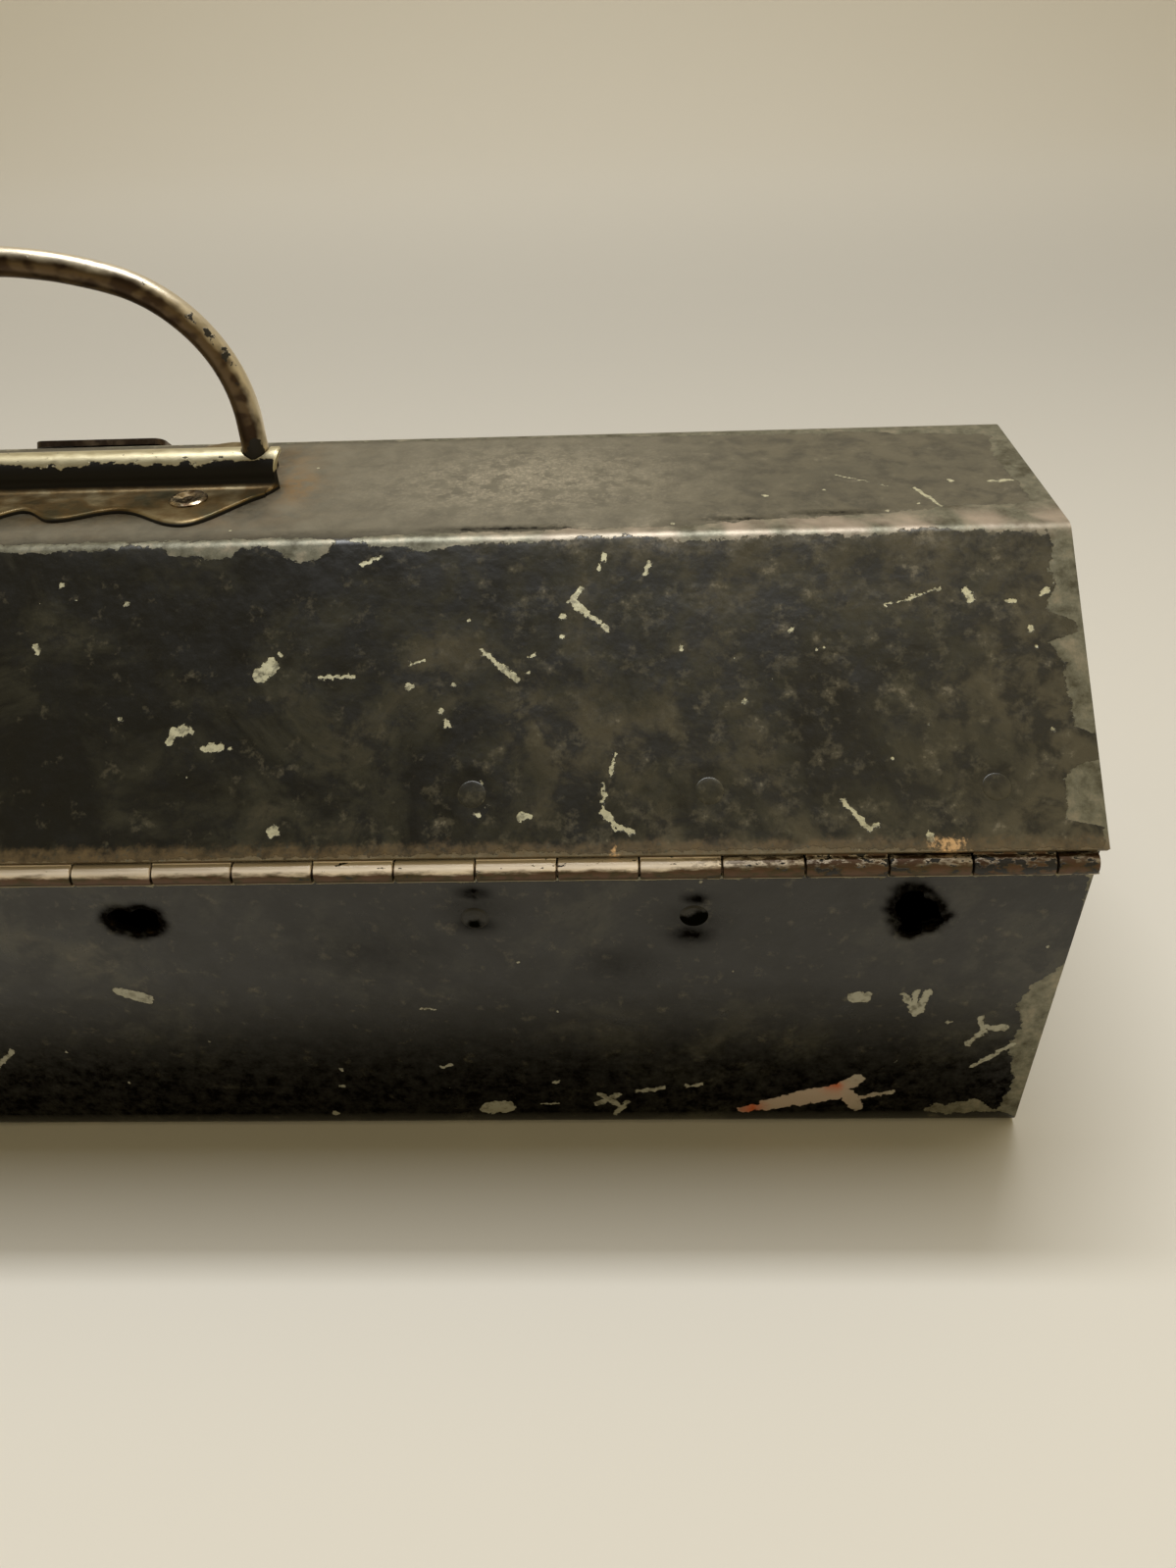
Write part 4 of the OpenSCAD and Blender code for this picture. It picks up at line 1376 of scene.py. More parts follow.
@dataclass
class LidShell:
    """The lid's folded sheet: front slope, flat top and rear slope.

    Its outline tables are lines in millimetres. end_band is how wide the bare band at an end
    is, by the place s round the section; fold_low and fold_high bound the bare band on a fold,
    by the place x along the box.
    """

    step_x: float = 2.0
    step_s: float = 1.8
    ripple: float = 0.16
    fold_r: float = 3.0
    zones: tuple[float, ...] = (-68.0, -112.5)
    rivets: tuple[float, ...] = (-163.0, -119.0, -82.0, 82.0, 119.0, 163.0)
    rivet_up: float = 10.0
    rivet_dx: float = 5.8
    dish: float = 0.1
    burr: float = 0.42
    worn_spots: tuple[Blot, ...] = (Blot(-89, 77.0, 24, 14), Blot(103, 72.0, 15, 9))
    bright_spots: tuple[Blot, ...] = (Blot(-155, 0.9, 4.8, 1.0), Blot(-104, 0.8, 1.0, 1.2, 0.8))
    plate_half: tuple[float, float] = (44.4, 13.0)
    flat_half: tuple[float, float] = (44.0, 20.0)
    flat_middle: float = 78.9
    chalk_at: float = 56.0
    chalk_wide: float = 3.8
    ring_r: float = 3.0
    end_band: Line = (
        (0.0, 0.4), (3.9, 1.2), (4.6, 6.0), (11.2, 5.7), (13.6, 2.6), (14.4, -1.5), (18.0, -1.5),
        (18.9, 3.0), (24.0, 3.4), (27.6, 4.2), (29.4, 3.1), (34.6, 6.2), (35.4, -1.0),
        (36.6, -0.8), (37.6, 5.2), (40.5, 5.6), (43.4, 3.2), (46.0, 4.6), (48.0, 3.4),
        (52.7, 3.9), (62.8, 3.4), (75.0, 4.3), (82.8, 4.7), (96.0, 2.6), (104.0, 4.4),
        (110.0, 1.0), (121.0, 5.2), (130.0, -1.0), (138.0, 3.6), (153.0, 2.4),
    )
    fold_low: Line = (
        (-179.0, 52.6), (-172.3, 52.9), (-148.6, 52.4), (-132.7, 52.9), (-116.6, 52.2),
        (-107.0, 53.5), (-94.0, 52.9), (-81.0, 52.5), (-72.9, 51.6), (-64.7, 52.9),
        (-58.1, 53.2), (-56.3, 50.3), (-51.7, 49.7), (-47.4, 52.8), (-42.5, 53.0),
        (-40.5, 50.7), (-31.6, 50.9), (-28.3, 53.4), (-22.5, 53.4), (-13.3, 52.9),
        (-1.7, 52.6), (20.0, 53.2), (44.0, 50.6), (52.0, 52.9), (90.0, 52.2), (96.0, 50.8),
        (110.0, 53.2), (150.0, 52.0), (179.0, 51.4),
    )
    fold_high: Line = (
        (-179.0, 63.5), (-166.0, 62.6), (-150.0, 60.2), (-132.0, 58.4), (-118.0, 56.6),
        (-60.0, 55.0), (0.0, 54.9), (80.0, 55.4), (150.0, 57.0), (179.0, 59.5),
    )

    def build(self) -> bpy.types.Object:
        """Makes the sheet and hides the plain one.

        Returns:
            The shell.
        """
        rear, front = (SHAPE.lid_y, SHAPE.lid_z), (-SHAPE.lid_y, SHAPE.lid_z)
        high = (SHAPE.top_y, SHAPE.top_z), (-SHAPE.top_y, SHAPE.top_z)
        close = (self.rivet_up - self.rivet_dx, self.rivet_up + self.rivet_dx)
        path = FoldedPath((rear, *high, front), self.fold_r, self.step_s, close)
        points, normals, along = path.sample()
        x = spread(SHAPE.half_length, self.step_x, self.rivets, self.rivet_dx, path.fine)
        s_grid, x_grid = np.meshgrid(along, x, indexing="ij")
        sink = self.sink(x_grid, s_grid)
        ones = np.ones_like(x_grid)
        outer = np.stack([x_grid, points[:, :1] * ones, points[:, 1:] * ones], -1)
        out = np.stack([0 * ones, normals[:, :1] * ones, normals[:, 1:] * ones], -1)
        outer = outer - sink[..., None] * out
        thick = SHAPE.sheet + self.burr * smooth(2.4, 0.5, s_grid)
        inner = outer - thick[..., None] * out
        piece = Plate(outer, inner).build("lid_shell", self.wear(x_grid, s_grid))
        scars, _ = Scars().strokes()
        zoned = ZonedPaint("lid_paint", scars, self.zones, tone(206, 202, 172))
        add_piece(piece, Body.LID, Slot.PAINT, zoned.finishes[0], "lid_wrap")
        zoned.share_out(piece)
        return piece

    def sink(self, x: Array, s: Array) -> Array:
        """How far the sheet lies inside its true shape, in millimetres.

        A ripple, faded out along the folds, the rims, the ends, the plate and the hinge rivets,
        and a dish round each rivet.

        Args:
            x: places along the box.
            s: places along the sheet's section.

        Returns:
            The depths, never below zero.
        """
        wave = Ripple(11, 90.0, 22.0).at(x, s)
        half = np.abs(s - SHAPE.middle)
        clear = np.minimum.reduce(
            [SHAPE.middle - half, np.abs(half - SHAPE.top_y), SHAPE.half_length - np.abs(x)])
        aside, around = (
            np.maximum(np.abs(at) - size, 0)
            for at, size in zip((x, s - self.flat_middle), self.flat_half)
        )
        plate = np.hypot(aside, around)
        far = self.from_rivets(x, s)
        fade = smooth(0.5, 9.0, clear) * smooth(0.5, 8.0, plate) * smooth(3, 9, far)
        ripple = self.ripple * (0.5 + 0.5 * np.clip(wave, -1, 1)) * fade
        return ripple + self.dish * smooth(4.7, 2.1, far)

    def fade(self, x: Array) -> Array:
        """How brown the paint has gone: more towards the left end."""
        return 0.24 * smooth(0.0, -150.0, x) - 0.14

    def from_rivets(self, x: Array, s: Array) -> Array:
        """Distance to the nearest hinge rivet, in millimetres."""
        return np.min([np.hypot(x - a, s - self.rivet_up) for a in self.rivets], axis=0)

    def wear(self, x: Array, s: Array) -> dict[str, Array]:
        """Values that steer the paint.

        Args:
            x: places along the box.
            s: places along the sheet's section.

        Returns:
            Named values.
        """
        inner = np.minimum(s, SHAPE.over - s) - SHAPE.slope
        top = smooth(-0.5, 3.0, inner)
        chalk = 0.75 * np.exp(-(((s - self.chalk_at) / self.chalk_wide) ** 2))
        chalk = chalk * smooth(-66.0, -112.0, x)
        chalk = chalk * smooth(-0.7, 0.6, Ripple(27, 16.0, 2.5).at(x, s))
        line = self.fold_line(x, s)
        aside = np.abs(x) - self.plate_half[0]
        around = np.abs(s - SHAPE.middle - 2.5) - self.plate_half[1]
        around = np.hypot(np.maximum(aside, 0), np.maximum(around, 0))
        # Darker on the top all round the handle plate.
        dark_round_plate = 0.4 * np.exp(-around / 4.0) * smooth(1.0, -3.0, aside) * top
        tarnish = np.exp(-around / 5.0) * (0.45 + 0.4 * Ripple(41, 24.0, 6.0).at(x, s))
        tarnish = tarnish + Blot(47.0, SHAPE.middle, 2.6, 6.0).at(np.abs(x), s)
        worn = joined(*(spot.at(x, s) for spot in self.worn_spots)) * top
        orange = joined(*(spot.at(x, s) for spot in self.bright_spots))
        corner = smooth(138.0, 172.0, np.abs(x)) * smooth(24.0, 4.0, np.abs(s - SHAPE.slope))
        return {
            "wear": np.clip(self.chipped(x, s), -6.0, 6.0),
            "dust": (0.8 - 0.42 * smooth(-95.0, -140.0, x)) * top + 0.06,
            "worn": np.maximum(worn, 1.4 * chalk),
            "rust": smooth(4.6, 0.6, s) * 0.62,
            "speck": corner * 0.5,
            "orange": np.clip(1.4 * orange, 0, 1),
            "primer": chalk,
            "tarnish": np.clip(tarnish, 0, 1) * top,
            # Darker: the broken line over the rear fold and the band round the handle plate; round
            # the rivets it is painted shade in their dimples.
            "soot_and_shade": joined(line, dark_round_plate, 0.12 * smooth(5.4, 3.0, self.from_rivets(x, s))),
            "fade": self.fade(x),
            "dull": joined(line, dark_round_plate, 0.34 * smooth(-125.0, -55.0, x) * smooth(0.0, -3.0, inner)),
        }

    def chipped(self, x: Array, s: Array) -> Array:
        """Depth inside the bare places, in millimetres: the ends, the folds, the rims, rings.

        The ring round a rivet is a crescent, open on its far side: worn metal, and also a painted
        highlight on the dimple's near wall.

        Args:
            x: places along the box.
            s: places along the sheet's section.

        Returns:
            The depths, below zero where the paint holds.
        """
        t = SHAPE.over - s
        band = np.where(x < 0, follow(self.end_band, s), follow(self.end_band, t))
        band = 0.8 * (band - SHAPE.half_length + np.abs(x))
        rear = np.minimum(s - follow(self.fold_low, x), follow(self.fold_high, x) - s)
        front = np.minimum(t - follow(self.fold_low, -x), follow(self.fold_high, -x) - t)
        patchy = np.clip(Ripple(17, 46.0, 8.0).at(x, s) - 0.1, 0, 1)
        fold = 0.8 * np.maximum(rear, front) - 1.1 * patchy
        rim = 0.5 + 0.6 * Ripple(5, 60.0, 9.0).at(x, s) - np.minimum(s, t)
        bearing = np.arctan2(self.rivet_up - s, np.abs(x) - self.rivets[3])
        open_side = 0.9 * (1 - np.sin(bearing + 0.6))
        ring = -0.05 - np.abs(self.from_rivets(x, s) - self.ring_r) - open_side
        return joined(band, fold, np.minimum(rim, 0.6), ring)

    def fold_line(self, x: Array, s: Array) -> Array:
        """The broken dark line along the upper edge of the rear fold's bare band.

        Args:
            x: places along the box.
            s: places along the sheet's section.

        Returns:
            Its strength.
        """
        above = (s - follow(self.fold_high, x) - 0.9) / 0.75
        broken = smooth(-0.8, -0.1, Ripple(19, 60.0, 9.0).at(x, s))
        return 0.85 * np.exp(-(above**2)) * broken * smooth(-158.0, -146.0, x)


@dataclass
class LidRivets:
    """Low painted heads of the lid's hinge rivets, each in its dimple."""

    head_r: float = 2.2
    head_h: float = 0.13
    shank_r: float = 1.2
    turns: int = 40

    def profile(self) -> Array:
        """The head's section: rows of distance from the axis and height over the dimple.

        Returns:
            One row for each point.
        """
        rise = np.linspace(0, np.pi / 2, 9)
        cap = np.stack([self.head_r * np.sin(rise), self.head_h * np.cos(rise) ** 0.8], -1)
        low = [[self.head_r, -0.1], [self.shank_r, -0.12], [self.shank_r, -1.7], [0.0, -1.7]]
        return np.concatenate([cap, low])

    def build(self, lid: LidShell) -> bpy.types.Object:
        """Makes the six heads and hides the plain ones.

        Args:
            lid: the sheet, which knows where its rivets are.

        Returns:
            The rivets, as one piece.
        """
        far, high = self.profile().T
        angle = np.linspace(0, 2 * np.pi, self.turns, endpoint=False)
        a_grid, far_grid = np.meshgrid(angle, far[1:-1])
        out = np.array([0.0, np.sin(SHAPE.lean), np.cos(SHAPE.lean)])
        up = np.array([0.0, -np.cos(SHAPE.lean), np.sin(SHAPE.lean)])
        along = np.array([1.0, 0.0, 0.0])
        head = (far_grid * np.cos(a_grid))[..., None] * along
        head = head + (far_grid * np.sin(a_grid))[..., None] * up + high[1:-1, None, None] * out
        head = np.concatenate([head.reshape(-1, 3), high[[0, -1]][:, None] * out])
        seats = [np.array(SHAPE.on_slope(x, lid.rivet_up)) - lid.dish * out for x in lid.rivets]
        faces = [part + i * len(head) for i in range(len(seats)) for part in self.faces(far_grid)]
        # A bare crescent on each head's rim: worn metal, and also a painted highlight.
        edge = far_grid - self.head_r - 0.75 - 0.75 * np.sin(a_grid + 0.9)
        wear = np.tile(np.concatenate([edge.reshape(-1), [-3.0, -3.0]]), len(seats))
        side = np.repeat(np.array(lid.rivets), len(head))
        values = {"wear": wear, "dust": np.full_like(wear, 0.06), "fade": lid.fade(side) + 0.04}
        points = np.concatenate([head + seat for seat in seats])
        piece = MeshMaker.build("lid_rivets", points, faces, values, 40.0)
        finish = PaintedSheet("rivet_paint", ragged=0.8).material()
        return add_piece(piece, Body.LID, Slot.RIVET, finish, "lid_hinge_rivets")

    @staticmethod
    def faces(grid: Array) -> list[Array]:
        """Faces of one rivet: walls between its rings, and a fan to the point at each end.

        Args:
            grid: a value for each ring by each point round it.

        Returns:
            Arrays of corner indices.
        """
        rows, count = grid.shape
        number = np.arange(rows * count).reshape(rows, count)
        turned = np.roll(number, -1, 1)
        ends = np.full((2, count), rows * count) + [[0], [1]]
        return [
            np.stack([number[:-1], turned[:-1], turned[1:], number[1:]], -1).reshape(-1, 4),
            np.stack([ends[0], number[0], turned[0]], -1),
            np.stack([ends[1], turned[-1], number[-1]], -1),
        ]


@dataclass
class BaseShell:
    """The base's folded sheet: front wall, bottom and rear wall with its two torn holes."""

    step_x: float = 1.9
    ripple: float = 0.16
    fold_r: float = 2.0
    zones: tuple[float, ...] = (-119.5,)
    tear_high: tuple[float, float] = (48.5, 62.5)
    probe: float = 0.05
    discs: tuple[Point, ...] = (
        (-26.9, 55.26, 2.7), (-23.3, 55.46, 2.4), (-25.0, 54.66, 2.6), (-28.4, 55.96, 1.2),
        (-152.0, 55.76, 3.6), (-150.9, 58.3, 2.5), (-154.3, 54.3, 2.3), (-151.7, 52.5, 2.0),
    )
    stains: tuple[tuple[float, float, float, float], ...] = (
        (-81.5, 60.6, 2.3, 1.2), (-81.2, 53.8, 3.4, 0.9), (-117.0, 58.9, 2.0, 1.2),
        (-116.4, 51.0, 3.6, 1.0), (-81.3, 57.0, 6.0, 0.4), (-116.8, 54.0, 6.0, 0.4),
        (-58.0, 20.0, 9.0, 0.5), (-105.0, 44.0, 7.0, 0.4), (-64.0, 48.0, 12.0, 0.3),
    )
    pits: tuple[Point, ...] = (
        (-81.5, 60.6, 1.6), (-81.2, 53.8, 1.9), (-117.0, 57.9, 1.3), (-116.4, 51.0, 2.4),
    )
    primer: Blot = Blot(-139, 8, 13, 7)
    red_tips: tuple[Blot, ...] = (Blot(-128.6, 4.7, 2.0, 2.0), Blot(-143.3, 11.2, 1.5, 1.5))
    end_band: Line = (
        (0.0, 4.4), (5.0, 3.4), (11.7, 2.3), (16.0, 3.6), (22.2, 5.1), (28.2, 4.0), (32.3, 5.8),
        (38.7, 4.0), (42.0, 0.6), (47.0, -0.4), (56.0, 0.2), (68.7, 1.0),
    )

    def hole(self, x: Array, z: Array) -> Array:
        """How far a point of the rear wall lies inside a torn hole, in millimetres.

        The greatest r - |p - c| over the holes' discs, roughened by a ripple.

        Args:
            x: places along the box.
            z: heights.

        Returns:
            Depths inside the holes, below zero outside.
        """
        deep = joined(*(r - np.hypot(x - a, z - b) for a, b, r in self.discs))
        rough = np.where(x < -90, 0.42, 0.22)
        return deep + rough * Ripple(3, 5.0, 1.4).at(x, z) - 0.15

    def build(self) -> bpy.types.Object:
        """Makes the sheet and hides the plain one.

        Returns:
            The shell.
        """
        rim = SHAPE.base_h - SHAPE.sheet
        corners = ((-SHAPE.base_y, rim), (-SHAPE.base_y, 0.0), (SHAPE.base_y, 0.0),
                   (SHAPE.base_y, SHAPE.back_top))
        foot = rim + 2 * SHAPE.base_y
        close = (foot + self.tear_high[0], foot + self.tear_high[1])
        path = FoldedPath(corners, self.fold_r, self.step_x, close, arc_steps=8)
        points, normals, along = path.sample()
        x = spread(SHAPE.base_x, self.step_x, SHAPE.lost_rivets, 7.0, 0.6)
        s_grid, x_grid = np.meshgrid(along, x, indexing="ij")
        x_grid, s_grid, keep = self.tear(x_grid, s_grid, foot)
        y = np.interp(s_grid, along, points[:, 0])
        z = np.interp(s_grid, along, points[:, 1])
        ny, nz = (np.interp(s_grid, along, normals[:, k]) for k in (0, 1))
        out = np.stack([np.zeros_like(ny), ny, nz], -1)
        rear = s_grid > foot + self.fold_r
        height = np.where(s_grid < rim, rim - s_grid, np.where(rear, s_grid - foot, 0.0))
        sink = self.sink(x_grid, height)
        flare = np.exp(-np.abs(np.minimum(self.hole(x_grid, z), 0)) / 1.1)
        flare = np.where(rear & (x_grid < -90), 0.4 * flare, np.where(rear, -0.25 * flare, 0.0))
        outer = np.stack([x_grid, y, z], -1) + (flare - sink)[..., None] * out
        inner = outer - SHAPE.sheet * out
        values = self.wear(x_grid, height, z, rear)
        piece = Plate(outer, inner, keep).build("base_shell", values)
        _, scars = Scars().strokes()
        zoned = ZonedPaint("base_paint", scars, self.zones, tone(166, 164, 148))
        add_piece(piece, Body.BASE, Slot.PAINT, zoned.finishes[0], "base_wrap")
        zoned.share_out(piece)
        return piece

    def tear(self, x: Array, s: Array, foot: float = 0.0) -> tuple[Array, Array, Array]:
        """Cuts the holes: drops cells inside them and pulls the points around onto their edge.

        A point p is moved to p - f grad f / |grad f|^2, where f is the depth inside the hole.

        Args:
            x: places along the box.
            s: places along the section.
            foot: the section's length at height 0 of the rear wall.

        Returns:
            The moved x and s, and which cells are kept.
        """
        depth = np.where(s > foot + self.fold_r, self.hole(x, s - foot), -9.0)
        keep = corner_mean(depth) < 0.0
        edge = on_brink(keep)
        x, s = x.copy(), s.copy()
        for _ in range(4):
            f = self.hole(x, s - foot)
            fx = (self.hole(x + self.probe, s - foot) - f) / self.probe
            fs = (self.hole(x, s + self.probe - foot) - f) / self.probe
            size = np.maximum(fx**2 + fs**2, 0.3)
            x[edge] -= (f * fx / size)[edge]
            s[edge] -= (f * fs / size)[edge]
        return x, s, keep

    def sink(self, x: Array, z: Array) -> Array:
        """How far the walls lie inside their true shape: a ripple that fades at their edges.

        Args:
            x: places along the box.
            z: heights.

        Returns:
            The depths, never below zero.
        """
        wave = Ripple(23, 110.0, 25.0).at(x, z)
        fade = smooth(2.0, 14.0, z) * smooth(62.0, 48.0, z)
        fade = fade * smooth(1.0, 10.0, SHAPE.base_x - np.abs(x))
        return self.ripple * (0.5 + 0.5 * np.clip(wave, -1, 1)) * fade

    def wear(self, x: Array, height: Array, z: Array, rear: Array) -> dict[str, Array]:
        """Values that steer the paint.

        Args:
            x: places along the box.
            height: height on either wall, and 0 on the bottom.
            z: height of each point.
            rear: which points belong to the rear wall.

        Returns:
            Named values.
        """
        deep = np.where(rear, self.hole(x, z), -9.0)
        pit = joined(*(1.0 - np.hypot(x - a, z - b) / r for a, b, r in self.pits))
        rust = np.maximum(0.25 * smooth(-1.2, -0.1, deep), 0.3 * np.clip(pit, 0, 1) * rear)
        stains = (Blot(a, b, r, 0.62 * r, share).at(x, z) for a, b, r, share in self.stains)
        # Painted shade: the rear wall darker, and less glossy, towards its foot, for the floor's
        # shadow that it mirrors. The stains at the rivets and elsewhere are real; the holes' rims
        # are darker.
        soot_and_shade = joined(*stains, 0.8 * smooth(34.0, 6.0, z), smooth(-2.4, -0.5, deep)) * rear
        dull = np.maximum(0.92 * smooth(44.0, 14.0, z), np.clip(1.1 * soot_and_shade, 0, 1))
        red = joined(*(tip.at(x, z) for tip in self.red_tips))
        return {
            "wear": np.clip(self.chipped(x, z, rear), -6.0, 6.0),
            "dust": np.full_like(x, 0.05),
            "rust": np.clip(rust, 0, 1),
            "primer": np.clip(1.3 * self.primer.at(x, z) * rear, 0, 1),
            "red": np.clip(1.2 * red * rear, 0, 1),
            "soot_and_shade": soot_and_shade,
            # Painted shade: the walls' paint darker towards their foot.
            "fade": -0.07 - 0.05 * smooth(40.0, 16.0, z),
            "dull": dull * (np.abs(height) > 0),
        }

    def chipped(self, x: Array, z: Array, rear: Array) -> Array:
        """Depth inside the bare places, in millimetres: the ends, the foot, the rim, the bottom.

        Args:
            x: places along the box.
            z: heights.
            rear: which points belong to the rear wall.

        Returns:
            The depths, below zero where the paint holds.
        """
        side = np.where((x < 0) == rear, z, 60.0 - 0.85 * z)
        band = 0.8 * (follow(self.end_band, side) - SHAPE.base_x + np.abs(x))
        along = np.where(rear, x, -x)
        lumps = Ripple(8, 34.0, 5.0).at(x, z * 0 + rear)
        foot = 0.35 + 0.7 * lumps + smooth(-60.0, -90.0, along) * (0.5 + 1.6 * lumps) - z
        foot = foot + 1.2 * smooth(-150.0, -166.0, along)
        foot = foot + smooth(-146.0, -158.0, along) * np.clip(0.8 + 2.2 * lumps, 0, 3)
        rim = np.where(rear, 0.5 - (SHAPE.back_top - z), -6.0)
        walls = joined(band, np.minimum(foot * 0.6, 0.7), rim)
        bottom = 0.35 * Ripple(9, 60.0, 12.0).at(x, z) - 0.35
        return np.where(z < 0.01, bottom, walls)


@dataclass
class HingeRow:
    """One half of the long hinge: rolled knuckles on a flat leaf."""

    ends: float = 177.8
    pitch: float = 12.7
    gap: float = 0.3
    bore: float = 1.06
    bevel: float = 0.24
    leaf_t: float = 0.8
    leaf_w: float = 15.0
    leaf_half: float = 177.1
    ease: float = 0.12
    around: int = 32

    def spans(self, first: int) -> Array:
        """Ends of every second knuckle: 27 whole ones with half a pitch left at each side.

        Args:
            first: 0 or 1, the knuckle to start from.

        Returns:
            Rows of first and last x.
        """
        edges = np.arange(-13.5, 13.6, 1.0) * self.pitch
        low = np.concatenate([[-self.ends], edges])
        high = np.concatenate([edges, [self.ends]])
        inner = np.stack([low + self.gap / 2, high - self.gap / 2], -1)
        inner[0, 0], inner[-1, 1] = -self.ends, self.ends
        return inner[first::2]

    def barrels(self, spans: Array) -> tuple[Array, list[Array]]:
        """Rolled knuckles, as rings round the hinge's axis.

        Each is its section (share of the length, shift, radius), turned once round the axis.

        Args:
            spans: ends of the knuckles.

        Returns:
            Points from the axis, and faces.
        """
        r, b = SHAPE.barrel_r, self.bevel
        section = np.array([
            [0, 0, self.bore], [0, 0, r - b], [0, 0.3 * b, r - 0.3 * b], [0, b, r],
            [0.3, 0, r - 0.02], [0.6, 0, r - 0.035],
            [1, -b, r], [1, -0.3 * b, r - 0.3 * b], [1, 0, r - b], [1, 0, self.bore],
        ])
        angle = np.linspace(0, 2 * np.pi, self.around, endpoint=False)
        x = spans[:, :1] + section[:, 0] * (spans[:, 1:] - spans[:, :1]) + section[:, 1]
        shape = (len(spans), len(section), self.around)
        x = np.broadcast_to(x[..., None], shape)
        y = np.broadcast_to(section[:, 2][None, :, None] * np.cos(angle), shape)
        z = np.broadcast_to(section[:, 2][None, :, None] * np.sin(angle), shape)
        faces = MeshMaker.ring_faces(np.arange(x.size).reshape(shape))
        return np.stack([x, y, z], -1).reshape(-1, 3), [faces]

    def bars(self, section: Array, spans: Array, start: int) -> tuple[Array, list[Array]]:
        """Bars of one section, one for each span.

        Args:
            section: corners (y, z) of the section.
            spans: ends of the bars.
            start: number of the first new point.

        Returns:
            Points and faces.
        """
        count = len(section)
        shape = (len(spans), 2, count)
        x = np.broadcast_to(spans[:, :, None], shape)
        y, z = (np.broadcast_to(section[:, k], shape) for k in (0, 1))
        grid = np.arange(x.size).reshape(shape) + start
        near, far = grid[:, 0], grid[:, 1]
        turned = np.roll(near, -1, 1), np.roll(far, -1, 1)
        sides = np.stack([near, turned[0], turned[1], far], -1).reshape(-1, 4)
        return np.stack([x, y, z], -1).reshape(-1, 3), [sides, near[:, ::-1], far]

    def torn_leaf(self) -> tuple[Array, list[Array]]:
        """The base's flat leaf, torn where two rivets were pulled out.

        Returns:
            Points from the hinge's axis, and faces.
        """
        x = spread(self.leaf_half, 3.0, SHAPE.lost_rivets, 8.0, 0.6)
        z = SHAPE.hinge_z + np.linspace(-self.leaf_w, -SHAPE.barrel_r - self.gap, 19)
        x_grid, z_grid, keep = BaseShell().tear(*np.meshgrid(x, z))
        y = np.full_like(x_grid, self.leaf_t - SHAPE.barrel_r)
        outer = np.stack([x_grid, y, z_grid - SHAPE.hinge_z], -1)
        points, faces, _ = Plate(outer, outer - np.array([0.0, self.leaf_t, 0.0]), keep).parts()
        return points, faces

    def flat_leaf(self, start: int) -> tuple[Array, list[Array]]:
        """The lid's flat leaf, one bar with eased edges.

        Args:
            start: number of the first new point.

        Returns:
            Points from the hinge's axis, and faces.
        """
        t, r, w = self.leaf_t, SHAPE.barrel_r, self.leaf_w
        edge, c = -r - self.gap, self.ease
        flat = np.array([
            [-w, r - t + c], [-w, r - c], [-w + c, r], [edge - c, r], [edge, r - c],
            [edge, r - t + c], [edge - c, r - t], [-w + c, r - t],
        ])
        return self.bars(flat, np.array([[-self.leaf_half, self.leaf_half]]), start)

    def build(self, body: Body, first: int, finish: bpy.types.Material) -> bpy.types.Object:
        """Makes one half of the hinge and hides the plain one.

        Args:
            body: the base or the lid.
            first: which knuckle is its first, 0 or 1.
            finish: the steel.

        Returns:
            The half hinge.
        """
        r, t = SHAPE.barrel_r, self.leaf_t
        edge = -r - self.gap - 0.02
        joggle = np.array([[edge, r - t], [edge, r], [-1.25, 1.52], [-0.7, 1.3], [-0.7, 0.8]])
        spans = self.spans(first)
        points, faces = self.barrels(spans)
        tabs, more = self.bars(joggle, spans, len(points))
        points, faces = np.concatenate([points, tabs]), [*faces, *more]
        if body is Body.LID:
            leaf, more = self.flat_leaf(len(points))
            x, y, z = np.concatenate([points, leaf]).T
            cos, sin = np.cos(SHAPE.lean), -np.sin(SHAPE.lean)
            points = np.stack([x, y * cos - z * sin, y * sin + z * cos], -1)
            faces += more
        else:
            leaf, more = self.torn_leaf()
            faces += [part + len(points) for part in more]
            points = np.concatenate([points[:, [0, 2, 1]] * np.array([1.0, -1.0, 1.0]), leaf])
        points = points + np.array([0.0, SHAPE.hinge_y, SHAPE.hinge_z])
        piece = MeshMaker.build(f"{body.value}_hinge_row", points, faces, crease=38.0)
        return add_piece(piece, body, Slot.STEEL, finish, f"{body.value}_hinge_leaf")


